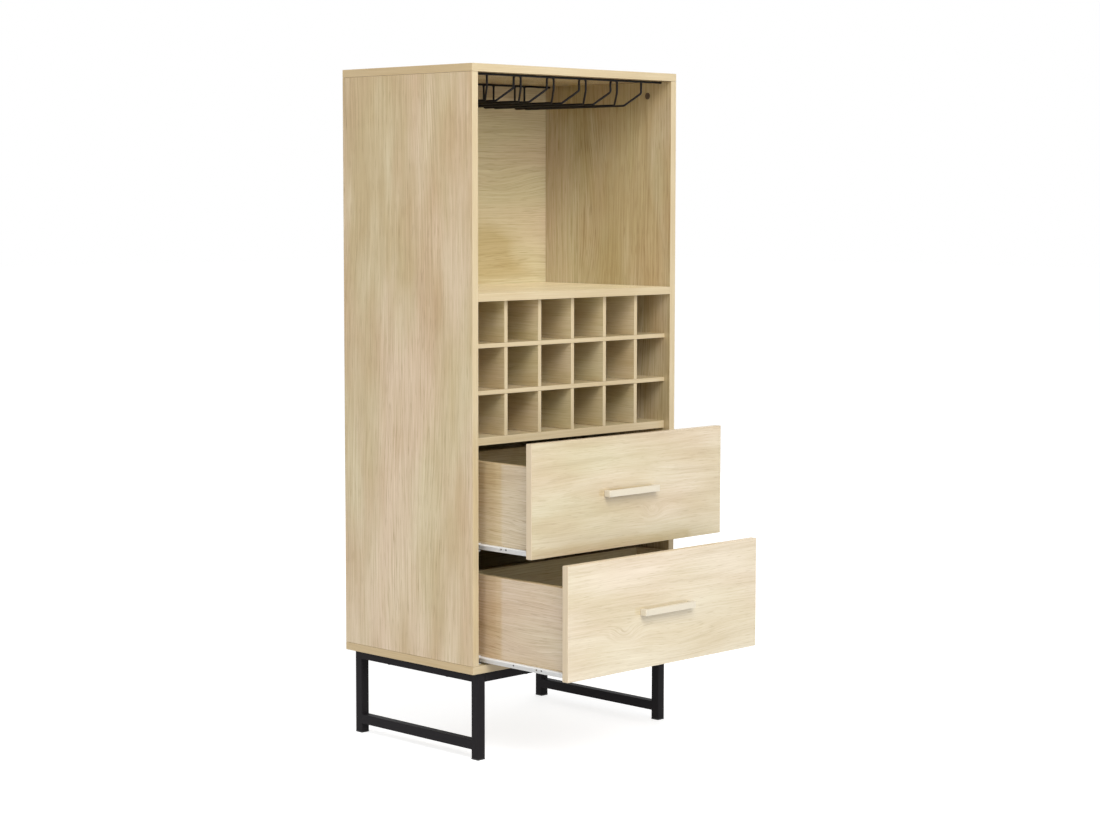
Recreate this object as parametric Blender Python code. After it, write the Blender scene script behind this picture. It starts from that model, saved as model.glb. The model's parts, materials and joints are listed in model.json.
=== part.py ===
"""Bar cabinet: oak-faced boards on a black square-tube base.

A stemware rack of bent wire hangs under the top of an open compartment, a grid of bottle
cells lies below it, and two drawers on roller runners fill the bottom. Lengths are metres,
+Z is up, the front faces -Y, and the drawers stand partly open at rest.
"""
import bpy
import bmesh
from math import pi, tau, cos, sin, tan
from mathutils import Matrix, Vector

# Clearance that neighbouring solids keep, and how far a cutter runs past a face
FIT = 0.0003
OVERRUN = 0.002

# Carcass
WIDTH = 0.600
DEPTH = 0.395
BOARD = 0.016
BASE_HEIGHT = 0.180
COMPARTMENT_HEIGHT = 0.4395
BACK_BOARD = 0.004
BACK_RECESS = 0.010
BACK_GROOVE = 0.006

# Bottle grid
GRID_BOARD = 0.009
CELL_HEIGHT = 0.0855
CELL_COLUMNS = 6
CELL_ROWS = 3

# Drawer fronts, and how far each drawer stands open at rest
FRONT_BOARD = 0.015
FRONT_HEIGHT = 0.229
FRONT_SIDE_GAP = 0.002
FRONT_GAP = 0.0015
STOP_GAP = 0.0005
UPPER_OPEN = 0.149
LOWER_OPEN = 0.250

# Drawer boxes, and the strips that hold their runners off the side panels
SPACER = 0.0115
RUNNER_SPACE = 0.0125
BOX_BOARD = 0.012
BOX_CLEARANCE = 0.0325
BOX_TAIL = 0.0075
BOX_BASE = 0.003
BOX_BASE_RISE = 0.010
BOX_GROOVE = 0.005

# Handles
HANDLE_LENGTH = 0.150
HANDLE_HEIGHT = 0.013
HANDLE_REACH = 0.016
HANDLE_BAR = 0.007
HANDLE_LEG = 0.010
HANDLE_ROUND = 0.002

# Runners: channels on the cabinet, angles on the drawer, and a roller on each
SHEET = 0.001
RUNNER_START = 0.002
RUNNER_REAR_SPACE = 0.064
CHANNEL_EDGE_GAP = 0.0007
ROLLER_RADIUS = 0.0063
ROLLER_END = 0.010
ROLLER_LIP_GAP = 0.0004
AXLE_RADIUS = 0.002
AXLE_HEAD_RADIUS = 0.0035
AXLE_HEAD = 0.0007
ANGLE_FOOT = 0.0105
ANGLE_BASE_RISE = 0.0015
LIP_WALL_GAP = 0.0017
LIP_TURN = 0.0025
ANGLE_SCREW_SHARES = (0.263, 0.528)
ANGLE_SPARE_HOLE_SHARE = 0.310
ANGLE_SCREW_RISE_SHARE = 0.565
CHANNEL_SCREW_SHARES = (0.15, 0.52, 0.90)

# Square-tube base
TUBE = 0.020
TUBE_WALL = 0.0012
TUBE_ROUND = 0.0015
BASE_SIDE_INSET = 0.020
BASE_END_INSET = 0.007
STRETCHER_RISE = 0.020
GLIDE_PLATE = 0.003
GLIDE_PLUG = 0.012
GLIDE_CHAMFER = 0.0008
FRAME_SCREW_SHARES = (0.25, 0.75)

# Stemware rack
WIRE_RADIUS = 0.00225
WIRE_SOCKET = 0.008
HANGER_INSET = 0.035
REAR_WIRE_GAP = 0.013
HANGER_DIVISIONS = 6
HANGER_TOP_HALF = 0.010
HANGER_RAIL_HALF = 0.0325
HANGER_KNEE_DROP = 0.027
HANGER_RAIL_DROP = 0.053
HANGER_SLOPE_RUN = 0.029
HANGER_BEND = 0.006

# Dowels glued into board ends
DOWEL_RADIUS = 0.004
DOWEL_REACH = 0.010
DOWEL_SHARES = (0.16, 0.84)
BOX_DOWEL_RADIUS = 0.003
BOX_DOWEL_REACH = 0.007
BOX_DOWEL_SHARES = (0.30, 0.78)

# Screws, and how far each bites into a board
RUNNER_SCREW_RADIUS = 0.0016
RUNNER_SCREW_HEAD_RADIUS = 0.0033
RUNNER_SCREW_HEAD = 0.0011
RUNNER_SCREW_BITE = 0.009
FRAME_SCREW_RADIUS = 0.0020
FRAME_SCREW_HEAD_RADIUS = 0.0045
FRAME_SCREW_HEAD = 0.0020
FRAME_SCREW_BITE = 0.010
HANDLE_SCREW_RADIUS = 0.0020
HANDLE_SCREW_HEAD_RADIUS = 0.0042
HANDLE_SCREW_HEAD = 0.0018

# Facets around each kind of round, and along each bend
DOWEL_SIDES = 10
SCREW_SIDES = 8
ROLLER_SIDES = 24
AXLE_SIDES = 10
WIRE_SIDES = 8
WIRE_BEVEL_STEPS = 2
BEND_STEPS = 3
CORNER_STEPS = 2

# Places worked out from the sizes above
INNER = WIDTH / 2 - BOARD
BOTTOM_TOP = BASE_HEIGHT + BOARD
LOWER_LEVEL = BOTTOM_TOP + FRONT_GAP
UPPER_LEVEL = LOWER_LEVEL + FRONT_HEIGHT + FRONT_GAP
RACK_TOP = UPPER_LEVEL + FRONT_HEIGHT
GRID_HEIGHT = CELL_ROWS * CELL_HEIGHT + (CELL_ROWS - 1) * GRID_BOARD
SHELF_UNDER = RACK_TOP + GRID_HEIGHT
SHELF_TOP = SHELF_UNDER + BOARD
TOP_UNDER = SHELF_TOP + COMPARTMENT_HEIGHT
HEIGHT = TOP_UNDER + BOARD
BACK_FACE = DEPTH - BACK_RECESS - BACK_BOARD
GRID_FRONT = FRONT_BOARD + STOP_GAP
CELL_WIDTH = (2 * INNER - (CELL_COLUMNS - 1) * GRID_BOARD) / CELL_COLUMNS
DOWEL_YS = [share * DEPTH for share in DOWEL_SHARES]

# Drawer places, up from a front's lower edge and back from its face
FRONT_HALF = INNER - FRONT_SIDE_GAP
RUN_FACE = INNER - SPACER
BOX_HALF = RUN_FACE - RUNNER_SPACE
BOX_INNER = BOX_HALF - BOX_BOARD
BOX_LOW = ANGLE_BASE_RISE + SHEET + FIT
BOX_HEIGHT = FRONT_HEIGHT - BOX_LOW - BOARD - BOX_CLEARANCE
BOX_TOP = BOX_LOW + BOX_HEIGHT
BASE_LOW = BOX_LOW + BOX_BASE_RISE
CHANNEL_FRONT = FRONT_BOARD + RUNNER_START
RUNNER_LENGTH = BACK_FACE - RUNNER_REAR_SPACE - CHANNEL_FRONT
ANGLE_REAR = FRONT_BOARD + RUNNER_LENGTH
BOX_REAR = ANGLE_REAR + BOX_TAIL
BASE_REAR = BOX_REAR - BOX_BOARD + BOX_GROOVE
REAR_ROLLER_Y = ANGLE_REAR - ROLLER_END
FRONT_ROLLER_Y = CHANNEL_FRONT + ROLLER_END
CHANNEL_LOW = FIT - FRONT_GAP
ROLLER_RISE = CHANNEL_LOW + SHEET + FIT + ROLLER_RADIUS
LIP_UNDER = ROLLER_RISE + ROLLER_RADIUS + FIT
LIP_TOP = LIP_UNDER + SHEET
CHANNEL_TOP = LIP_TOP + FIT + SHEET
ANGLE_SCREW_RISE = ANGLE_BASE_RISE + ANGLE_SCREW_RISE_SHARE * (LIP_UNDER - ANGLE_BASE_RISE)

# Runner places, out from a spacer strip's face
CHANNEL_WALL = FIT + SHEET
ANGLE_INNER = RUNNER_SPACE - FIT
ANGLE_WALL = ANGLE_INNER - SHEET
CHANNEL_EDGE = ANGLE_WALL - CHANNEL_EDGE_GAP
LIP_EDGE = CHANNEL_WALL + LIP_WALL_GAP
ROLLER_NEAR = LIP_EDGE + SHEET + ROLLER_LIP_GAP
ROLLER_FAR = ANGLE_WALL - FIT - AXLE_HEAD - FIT

# Base and rack places
LEG_X = WIDTH / 2 - BASE_SIDE_INSET - TUBE / 2
LEG_FRONT_Y = BASE_END_INSET + TUBE / 2
LEG_BACK_Y = DEPTH - BASE_END_INSET - TUBE / 2
RAIL_Z = BASE_HEIGHT - FIT - TUBE / 2
CROSS_WIRE_Z = TOP_UNDER - FIT - WIRE_RADIUS
FRONT_WIRE_Y = HANGER_INSET - 2 * WIRE_RADIUS - FIT
REAR_WIRE_Y = BACK_FACE - REAR_WIRE_GAP
HANGER_PITCH = 2 * INNER / HANGER_DIVISIONS

# The carcass front stands here, so that the open cabinet's box is centred on the origin
FRONT_Y = (LOWER_OPEN + HANDLE_REACH - DEPTH) / 2

# Finishes: colour, roughness, metallic
OAK = ((0.66, 0.53, 0.36), 0.55, 0.0)
OAK_BACK = ((0.55, 0.43, 0.29), 0.6, 0.0)
BLACK_STEEL = ((0.030, 0.028, 0.030), 0.5, 0.4)
WHITE_STEEL = ((0.80, 0.80, 0.78), 0.35, 0.2)
CREAM = ((0.86, 0.80, 0.66), 0.4, 0.0)
NYLON = ((0.75, 0.74, 0.70), 0.45, 0.0)
BLACK_PLASTIC = ((0.02, 0.02, 0.02), 0.6, 0.0)


def clear_scene():
    """Removes whatever objects the file opened with."""
    for item in list(bpy.data.objects):
        bpy.data.objects.remove(item, do_unlink=True)


def empty(name, place, parent=None):
    """Makes a named frame that pieces are parented to."""
    frame = bpy.data.objects.new(name, None)
    frame.location = place
    frame.parent = parent
    bpy.context.scene.collection.objects.link(frame)
    return frame


def finish_for(name, finish):
    """Makes the piece's own Principled material."""
    colour, roughness, metallic = finish
    material = bpy.data.materials.new(name + "_finish")
    material.use_nodes = True
    shader = material.node_tree.nodes["Principled BSDF"]
    shader.inputs["Base Color"].default_value = (*colour, 1.0)
    shader.inputs["Roughness"].default_value = roughness
    shader.inputs["Metallic"].default_value = metallic
    material.diffuse_color = (*colour, 1.0)
    return material


def middle_of(bm):
    """Returns the centre of the box round a mesh."""
    low = [min(v.co[i] for v in bm.verts) for i in range(3)]
    high = [max(v.co[i] for v in bm.verts) for i in range(3)]
    return (Vector(low) + Vector(high)) / 2


def piece(name, bm, finish, parent, pivot=None, smooth=False):
    """Turns a mesh drawn in its parent's frame into a named object with its origin at pivot."""
    pivot = middle_of(bm) if pivot is None else Vector(pivot)
    bmesh.ops.translate(bm, verts=bm.verts, vec=-pivot)
    bmesh.ops.recalc_face_normals(bm, faces=bm.faces)
    mesh = bpy.data.meshes.new(name)
    bm.to_mesh(mesh)
    bm.free()
    item = bpy.data.objects.new(name, mesh)
    item.location = pivot
    item.parent = parent
    bpy.context.scene.collection.objects.link(item)
    mesh.materials.append(finish_for(name, finish))
    if smooth:
        mesh.shade_smooth()
        mesh.set_sharp_from_angle(angle=pi / 6)
    return item


def combine(item, bm, operation, overlapping=False):
    """Unites the bodies in bm with the piece, or cuts them out; bm is in the parent's frame."""
    tool = piece(f"{item.name}_{operation.lower()}", bm, BLACK_PLASTIC, item.parent)
    tool.hide_render = True
    tool.display_type = "WIRE"
    boolean = item.modifiers.new(operation.lower(), "BOOLEAN")
    boolean.operation = operation
    boolean.solver = "EXACT"
    boolean.use_self = overlapping
    boolean.object = tool


def join(item, bm):
    combine(item, bm, "UNION")


def cut(item, bm):
    combine(item, bm, "DIFFERENCE")


def box(bm, low, high):
    """Adds a closed box between two corners."""
    low, high = Vector(low), Vector(high)
    matrix = Matrix.Translation((low + high) / 2) @ Matrix.Diagonal((*(high - low), 1.0))
    bmesh.ops.create_cube(bm, size=1.0, matrix=matrix)


def sided_box(bm, side, low, high):
    """Adds a box drawn for the right side, mirrored where side is -1."""
    near, far = sorted((side * low[0], side * high[0]))
    box(bm, (near, low[1], low[2]), (far, high[1], high[2]))


def skin(bm, loops, closed=False):
    """Joins loops of vertices into one surface, capped at both ends or closed into a ring."""
    pairs = list(zip(loops, loops[1:]))
    if closed:
        pairs.append((loops[-1], loops[0]))
    else:
        bm.faces.new(loops[0])
        bm.faces.new(loops[-1])
    for first, second in pairs:
        for step in range(len(first)):
            following = (step + 1) % len(first)
            bm.faces.new((first[step], first[following], second[following], second[step]))


def turned(bm, start, direction, rings, sides, hollow=False):
    """Adds a turned body from (distance along, radius) rings, bored through when hollow."""
    start, direction = Vector(start), Vector(direction).normalized()
    across = direction.orthogonal().normalized()
    upright = direction.cross(across)
    loops = []
    for along, radius in rings:
        angles = [tau * (step + 0.5) / sides for step in range(sides)]
        spokes = [across * cos(angle) + upright * sin(angle) for angle in angles]
        loops.append([bm.verts.new(start + direction * along + spoke * radius) for spoke in spokes])
    skin(bm, loops, closed=hollow)


def rod(bm, start, end, radius, sides):
    """Adds a plain round bar between two points."""
    reach = Vector(end) - Vector(start)
    turned(bm, start, reach, ((0, radius), (reach.length, radius)), sides)


def screw(bm, seat, direction, length, radius, head_radius, head):
    """Adds a screw whose head stands on seat and whose shank runs along direction."""
    rings = ((-head, head_radius), (0, head_radius), (0, radius), (length, radius))
    turned(bm, seat, direction, rings, SCREW_SIDES)


def hole(bm, start, direction, depth, radius, sides=SCREW_SIDES):
    """Adds a cutter for a hole that lets a bar of this radius and depth into a face."""
    start, direction = Vector(start), Vector(direction)
    rod(bm, start - direction * OVERRUN, start + direction * (depth + FIT), radius + FIT, sides)


def dowel(tenons, mortises, point, direction, radius, reach):
    """Adds a dowel that stands out of a board end, and the hole it goes into."""
    point, direction = Vector(point), Vector(direction)
    rod(tenons, point - direction * OVERRUN, point + direction * reach, radius, DOWEL_SIDES)
    hole(mortises, point, direction, reach, radius, DOWEL_SIDES)


def extruded(bm, outline, low, high, place):
    """Adds a prism: place(u, v, w) puts an outline point (u, v) at height w."""
    skin(bm, [[bm.verts.new(place(u, v, w)) for u, v in outline] for w in (low, high)])


def arc(centre, radius, first, last, steps):
    """Returns the points of an arc in a plane, both ends included."""
    angles = [first + (last - first) * step / steps for step in range(steps + 1)]
    return [(centre[0] + radius * cos(angle), centre[1] + radius * sin(angle)) for angle in angles]


def rounded_square(half, radius):
    """Returns the outline of a square with rounded corners."""
    points = []
    reach = half - radius
    for turn, (across, up) in enumerate(((1, 1), (-1, 1), (-1, -1), (1, -1))):
        first = turn * pi / 2
        points += arc((across * reach, up * reach), radius, first, first + pi / 2, CORNER_STEPS)
    return points


def fillet(points, radius, steps):
    """Rounds the inner corners of a line of points with arcs."""
    points = [Vector(point) for point in points]
    rounded = [points[0]]
    for before, corner, after in zip(points, points[1:], points[2:]):
        back = (before - corner).normalized()
        ahead = (after - corner).normalized()
        half = back.angle(ahead) / 2
        centre = corner + (back + ahead).normalized() * radius / sin(half)
        first = corner + back * radius / tan(half) - centre
        last = corner + ahead * radius / tan(half) - centre
        rounded += [centre + first.slerp(last, step / steps) * radius for step in range(steps + 1)]
    rounded.append(points[-1])
    return rounded


def back_groove(bm, low, high):
    """Adds the cutter for a length of the groove that holds the back panel."""
    box(bm, (low[0], BACK_FACE - FIT, low[1]), (high[0], BACK_FACE + BACK_BOARD + FIT, high[1]))


def make_end_panels(cabinet):
    """Makes the top and bottom panels, which lie over the ends of the side panels."""
    reach = INNER + BACK_GROOVE
    for name, low, high, seat, up in (("top_panel", TOP_UNDER, HEIGHT, TOP_UNDER, 1),
                                      ("bottom_panel", BASE_HEIGHT, BOTTOM_TOP, BOTTOM_TOP, -1)):
        bm, cuts = bmesh.new(), bmesh.new()
        box(bm, (-WIDTH / 2, 0, low), (WIDTH / 2, DEPTH, high))
        groove = sorted((seat - up * OVERRUN, seat + up * BACK_GROOVE))
        back_groove(cuts, (-reach, groove[0]), (reach, groove[1]))
        for x in (-WIDTH / 2 + BOARD / 2, WIDTH / 2 - BOARD / 2):
            for y in DOWEL_YS:
                hole(cuts, (x, y, seat), (0, 0, up), DOWEL_REACH, DOWEL_RADIUS, DOWEL_SIDES)
        if up < 0:
            for x, y in frame_screw_places():
                hole(cuts, (x, y, BASE_HEIGHT), (0, 0, 1), FRAME_SCREW_BITE, FRAME_SCREW_RADIUS)
        cut(piece(name, bm, OAK, cabinet), cuts)


def make_shelves(cabinet, side_cuts):
    """Makes the two fixed shelves, doweled to the side panels."""
    for name, front, low in (("compartment_shelf", 0, SHELF_UNDER),
                             ("rack_base_shelf", GRID_FRONT, RACK_TOP - BOARD)):
        bm, tenons = bmesh.new(), bmesh.new()
        box(bm, (FIT - INNER, front, low), (INNER - FIT, BACK_FACE - FIT, low + BOARD))
        for side, cuts in side_cuts.items():
            for y in DOWEL_YS:
                end = (side * (INNER - FIT), y, low + BOARD / 2)
                dowel(tenons, cuts, end, (side, 0, 0), DOWEL_RADIUS, DOWEL_REACH)
        join(piece(name, bm, OAK, cabinet), tenons)


def make_side_panels(cabinet, side_cuts):
    """Makes the side panels, with their dowels, the glued-on spacer strips, and every groove and hole."""
    for side, name in ((-1, "left_side_panel"), (1, "right_side_panel")):
        cuts = side_cuts[side]
        near, far = sorted((side * (INNER - OVERRUN), side * (INNER + BACK_GROOVE)))
        back_groove(cuts, (near, BOTTOM_TOP - OVERRUN), (far, TOP_UNDER + OVERRUN))
        for y in (FRONT_WIRE_Y, REAR_WIRE_Y):
            hole(cuts, (side * INNER, y, CROSS_WIRE_Z), (side, 0, 0), WIRE_SOCKET, WIRE_RADIUS, WIRE_SIDES)
        for z in (LOWER_LEVEL + ROLLER_RISE, UPPER_LEVEL + ROLLER_RISE):
            for y in channel_screw_places():
                hole(cuts, (side * RUN_FACE, y, z), (side, 0, 0), RUNNER_SCREW_BITE, RUNNER_SCREW_RADIUS)
        bm, tenons = bmesh.new(), bmesh.new()
        sided_box(bm, side, (INNER, 0, BOTTOM_TOP + FIT), (WIDTH / 2, DEPTH, TOP_UNDER - FIT))
        for z, up in ((BOTTOM_TOP + FIT, -1), (TOP_UNDER - FIT, 1)):
            for y in DOWEL_YS:
                end = Vector((side * (WIDTH / 2 - BOARD / 2), y, z))
                rod(tenons, end - Vector((0, 0, up * OVERRUN)), end + Vector((0, 0, up * DOWEL_REACH)),
                    DOWEL_RADIUS, DOWEL_SIDES)
        for level in (LOWER_LEVEL, UPPER_LEVEL):
            sided_box(tenons, side, (RUN_FACE, CHANNEL_FRONT, level + CHANNEL_LOW),
                      (INNER + OVERRUN, CHANNEL_FRONT + RUNNER_LENGTH, level + CHANNEL_TOP))
        item = piece(name, bm, OAK, cabinet)
        join(item, tenons)
        cut(item, cuts)


def make_back_panel(cabinet):
    """Makes the thin back, held in grooves all round."""
    bm = bmesh.new()
    reach = BACK_GROOVE - FIT
    box(bm, (-INNER - reach, BACK_FACE, BOTTOM_TOP - reach),
        (INNER + reach, BACK_FACE + BACK_BOARD, TOP_UNDER + reach))
    piece("back_panel", bm, OAK_BACK, cabinet)


def make_bottle_grid(cabinet):
    """Makes the half-lapped grid: the long boards are slotted from behind, the dividers in front."""
    back = BACK_FACE - FIT
    half_way = (GRID_FRONT + back) / 2
    columns = [-INNER + (n + 1) * CELL_WIDTH + n * GRID_BOARD for n in range(CELL_COLUMNS - 1)]
    rows = [RACK_TOP + (n + 1) * CELL_HEIGHT + n * GRID_BOARD for n in range(CELL_ROWS - 1)]
    for number, z in enumerate(rows, 1):
        bm, slots = bmesh.new(), bmesh.new()
        box(bm, (FIT - INNER, GRID_FRONT, z), (INNER - FIT, back, z + GRID_BOARD))
        for x in columns:
            box(slots, (x - FIT, half_way, z - OVERRUN),
                (x + GRID_BOARD + FIT, back + OVERRUN, z + GRID_BOARD + OVERRUN))
        cut(piece(f"rack_board_{number}", bm, OAK, cabinet), slots)
    for number, x in enumerate(columns, 1):
        bm, slots = bmesh.new(), bmesh.new()
        box(bm, (x, GRID_FRONT, RACK_TOP + FIT), (x + GRID_BOARD, back, SHELF_UNDER - FIT))
        for z in rows:
            box(slots, (x - OVERRUN, GRID_FRONT - OVERRUN, z - FIT),
                (x + GRID_BOARD + OVERRUN, half_way + FIT, z + GRID_BOARD + FIT))
        cut(piece(f"rack_divider_{number}", bm, OAK, cabinet), slots)


def cells(bm, xs, ys, zs, filled):
    """Adds the surface of a block of boxes; filled tells for each column and row if it is solid."""
    corners = {}

    def corner(i, j, k):
        if (i, j, k) not in corners:
            corners[i, j, k] = bm.verts.new((xs[i], ys[j], zs[k]))
        return corners[i, j, k]

    for j, k in filled:
        rim = [(j, k), (j + 1, k), (j + 1, k + 1), (j, k + 1)]
        for i in (0, 1):
            bm.faces.new([corner(i, *place) for place in rim])
        beyond = [(j, k - 1), (j + 1, k), (j, k + 1), (j - 1, k)]
        for first, last, neighbour in zip(rim, rim[1:] + rim[:1], beyond):
            if neighbour not in filled:
                bm.faces.new([corner(0, *first), corner(0, *last), corner(1, *last), corner(1, *first)])


def round_edges(bm, radius, kept):
    """Rounds every sharp edge but those that lie in the plane z = kept."""
    bmesh.ops.recalc_face_normals(bm, faces=bm.faces)
    bmesh.ops.dissolve_limit(bm, angle_limit=pi / 180, verts=bm.verts, edges=bm.edges)
    sharp = [edge for edge in bm.edges
             if edge.calc_face_angle(0) > pi / 4 and any(abs(v.co.z - kept) > radius for v in edge.verts)]
    bmesh.ops.bevel(bm, geom=sharp, offset=radius, segments=CORNER_STEPS, profile=0.5, affect="EDGES",
                    clamp_overlap=True)


def make_leg_frame(name, side, cabinet):
    """Makes a welded side frame: two legs, a top rail and a low stretcher, hollow inside."""
    low, high = GLIDE_PLATE + FIT, BASE_HEIGHT - FIT
    front, back = BASE_END_INSET, DEPTH - BASE_END_INSET
    legs_and_rails = [(0, 0), (0, 1), (0, 2), (0, 3), (2, 0), (2, 1), (2, 2), (2, 3), (1, 1), (1, 3)]
    bm, hollow = bmesh.new(), bmesh.new()
    for target, wall, foot in ((bm, 0, low), (hollow, TUBE_WALL, low - OVERRUN)):
        xs = (side * LEG_X - TUBE / 2 + wall, side * LEG_X + TUBE / 2 - wall)
        ys = (front + wall, front + TUBE - wall, back - TUBE + wall, back - wall)
        zs = (foot, STRETCHER_RISE + wall, STRETCHER_RISE + TUBE - wall, high - TUBE + wall, high - wall)
        cells(target, xs, ys, zs, legs_and_rails)
    round_edges(bm, TUBE_ROUND, low)
    item = piece(name, bm, BLACK_STEEL, cabinet, smooth=True)
    cut(item, hollow)
    add_frame_screws(item, [place for place in frame_screw_places() if place[0] == side * LEG_X])


def make_cross_rail(name, y, cabinet):
    """Makes a square tube that joins the two leg frames under the bottom panel."""
    reach = LEG_X - TUBE / 2 - FIT
    outer = rounded_square(TUBE / 2, TUBE_ROUND)
    inner = rounded_square(TUBE / 2 - TUBE_WALL, TUBE_ROUND / 2)
    bm = bmesh.new()
    loops = [[bm.verts.new((x, y + u, RAIL_Z + v)) for u, v in outline]
             for outline, x in ((outer, -reach), (outer, reach), (inner, reach), (inner, -reach))]
    skin(bm, loops, closed=True)
    item = piece(name, bm, BLACK_STEEL, cabinet, smooth=True)
    add_frame_screws(item, [place for place in frame_screw_places() if place[1] == y])


def add_frame_screws(item, places):
    """Joins to a tube the screws that go up through it into the bottom panel."""
    bm = bmesh.new()
    for x, y in places:
        screw(bm, (x, y, RAIL_Z - TUBE / 2), (0, 0, 1), TUBE + FIT + FRAME_SCREW_BITE,
              FRAME_SCREW_RADIUS, FRAME_SCREW_HEAD_RADIUS, FRAME_SCREW_HEAD)
    join(item, bm)


def frame_screw_places():
    """Returns where screws go up through the rails into the bottom panel."""
    places = []
    for share in FRAME_SCREW_SHARES:
        x = (2 * share - 1) * LEG_X
        y = LEG_FRONT_Y + share * (LEG_BACK_Y - LEG_FRONT_Y)
        places += [(-LEG_X, y), (LEG_X, y), (x, LEG_FRONT_Y), (x, LEG_BACK_Y)]
    return places


def make_glide(name, x, y, cabinet):
    """Makes one leg glide: a foot plate with a plug that stands up inside the tube."""
    plug = TUBE / 2 - TUBE_WALL - FIT
    rings = ((0, TUBE / 2 - GLIDE_CHAMFER), (GLIDE_CHAMFER, TUBE / 2), (GLIDE_PLATE, TUBE / 2),
             (GLIDE_PLATE, plug), (GLIDE_PLATE + GLIDE_PLUG, plug))
    corners = ((1, 1), (-1, 1), (-1, -1), (1, -1))
    bm = bmesh.new()
    skin(bm, [[bm.verts.new((x + across * half, y + along * half, z)) for across, along in corners]
              for z, half in rings])
    piece(name, bm, BLACK_PLASTIC, cabinet)


def make_base(cabinet):
    """Makes the two leg frames, the two rails between them and the four glides."""
    for side, side_name in ((-1, "left"), (1, "right")):
        make_leg_frame(f"{side_name}_leg_frame", side, cabinet)
        for y, end_name in ((LEG_FRONT_Y, "front"), (LEG_BACK_Y, "back")):
            make_glide(f"{end_name}_{side_name}_glide", side * LEG_X, y, cabinet)
    make_cross_rail("front_rail", LEG_FRONT_Y, cabinet)
    make_cross_rail("back_rail", LEG_BACK_Y, cabinet)


def make_glass_rack(cabinet):
    """Makes the stemware rack: two cross wires let into the side panels, and the hangers."""
    reach = INNER + WIRE_SOCKET
    for y, name in ((FRONT_WIRE_Y, "glass_rack_front_wire"), (REAR_WIRE_Y, "glass_rack_rear_wire")):
        bm = bmesh.new()
        rod(bm, (-reach, y, CROSS_WIRE_Z), (reach, y, CROSS_WIRE_Z), WIRE_RADIUS, WIRE_SIDES)
        piece(name, bm, BLACK_STEEL, cabinet, smooth=True)
    for number in range(HANGER_DIVISIONS):
        centre = -INNER + (number + 0.5) * HANGER_PITCH
        if number == 0:
            route = hanger_wire(1, CROSS_WIRE_Z + WIRE_RADIUS)
        elif number == HANGER_DIVISIONS - 1:
            route = hanger_wire(-1, CROSS_WIRE_Z + WIRE_RADIUS)
        else:
            route = hanger_wire(1, CROSS_WIRE_Z)[::-1] + hanger_wire(-1, CROSS_WIRE_Z)
        make_hanger(f"glass_hanger_{number + 1}", centre, route, cabinet)


def hanger_wire(side, top):
    """Returns the corners of one wire: down, splayed out to its rail, back, and up again."""
    neck, foot = side * HANGER_TOP_HALF, side * HANGER_RAIL_HALF
    rail = TOP_UNDER - HANGER_RAIL_DROP
    return [(neck, HANGER_INSET, top), (neck, HANGER_INSET, TOP_UNDER - HANGER_KNEE_DROP),
            (foot, HANGER_INSET + HANGER_SLOPE_RUN, rail), (foot, REAR_WIRE_Y, rail),
            (foot, REAR_WIRE_Y, CROSS_WIRE_Z - WIRE_RADIUS - FIT)]


def make_hanger(name, centre, route, cabinet):
    """Makes one hanger as a curve with a round bevel."""
    data = bpy.data.curves.new(name, "CURVE")
    data.dimensions = "3D"
    data.bevel_depth = WIRE_RADIUS
    data.bevel_resolution = WIRE_BEVEL_STEPS
    data.use_fill_caps = True
    points = fillet(route, HANGER_BEND, BEND_STEPS)
    spline = data.splines.new("POLY")
    spline.points.add(len(points) - 1)
    for point, place in zip(spline.points, points):
        point.co = (*place, 1.0)
    item = bpy.data.objects.new(name, data)
    item.location = (centre, 0, 0)
    item.parent = cabinet
    bpy.context.scene.collection.objects.link(item)
    data.materials.append(finish_for(name, BLACK_STEEL))


def channel_screw_places():
    """Returns the y of each screw that holds a cabinet runner."""
    return [CHANNEL_FRONT + share * RUNNER_LENGTH for share in CHANNEL_SCREW_SHARES]


def axle(bm, side, wall, tip, y, z):
    """Adds a riveted axle from a runner's wall to a head beyond tip, both out from the strip's face."""
    inwards = 1 if tip > wall else -1
    shank = abs(tip - wall)
    rings = ((-SHEET / 2, AXLE_RADIUS), (shank, AXLE_RADIUS), (shank, AXLE_HEAD_RADIUS),
             (shank + AXLE_HEAD, AXLE_HEAD_RADIUS))
    turned(bm, (side * (RUN_FACE - wall), y, z), (-side * inwards, 0, 0), rings, AXLE_SIDES)


def from_strip(side):
    """Returns how a runner's outline (out from the spacer strip, up) is placed at each y."""
    return lambda out, up, y: (side * (RUN_FACE - out), y, up)


def make_cabinet_runner(name, side, level, cabinet):
    """Makes the channel screwed to a spacer strip, with its screws and its roller's axle."""
    low, high = level + CHANNEL_LOW, level + CHANNEL_TOP
    middle = level + ROLLER_RISE
    outline = ((FIT, low), (CHANNEL_EDGE, low), (CHANNEL_EDGE, low + SHEET), (CHANNEL_WALL, low + SHEET),
               (CHANNEL_WALL, high - SHEET), (CHANNEL_EDGE, high - SHEET), (CHANNEL_EDGE, high), (FIT, high))
    bm, fittings = bmesh.new(), bmesh.new()
    extruded(bm, outline, CHANNEL_FRONT, CHANNEL_FRONT + RUNNER_LENGTH, from_strip(side))
    axle(fittings, side, CHANNEL_WALL, ROLLER_FAR + FIT, FRONT_ROLLER_Y, middle)
    for y in channel_screw_places():
        seat = (side * (RUN_FACE - CHANNEL_WALL), y, middle)
        screw(fittings, seat, (side, 0, 0), CHANNEL_WALL + RUNNER_SCREW_BITE,
              RUNNER_SCREW_RADIUS, RUNNER_SCREW_HEAD_RADIUS, RUNNER_SCREW_HEAD)
    join(piece(name, bm, WHITE_STEEL, cabinet), fittings)


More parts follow.
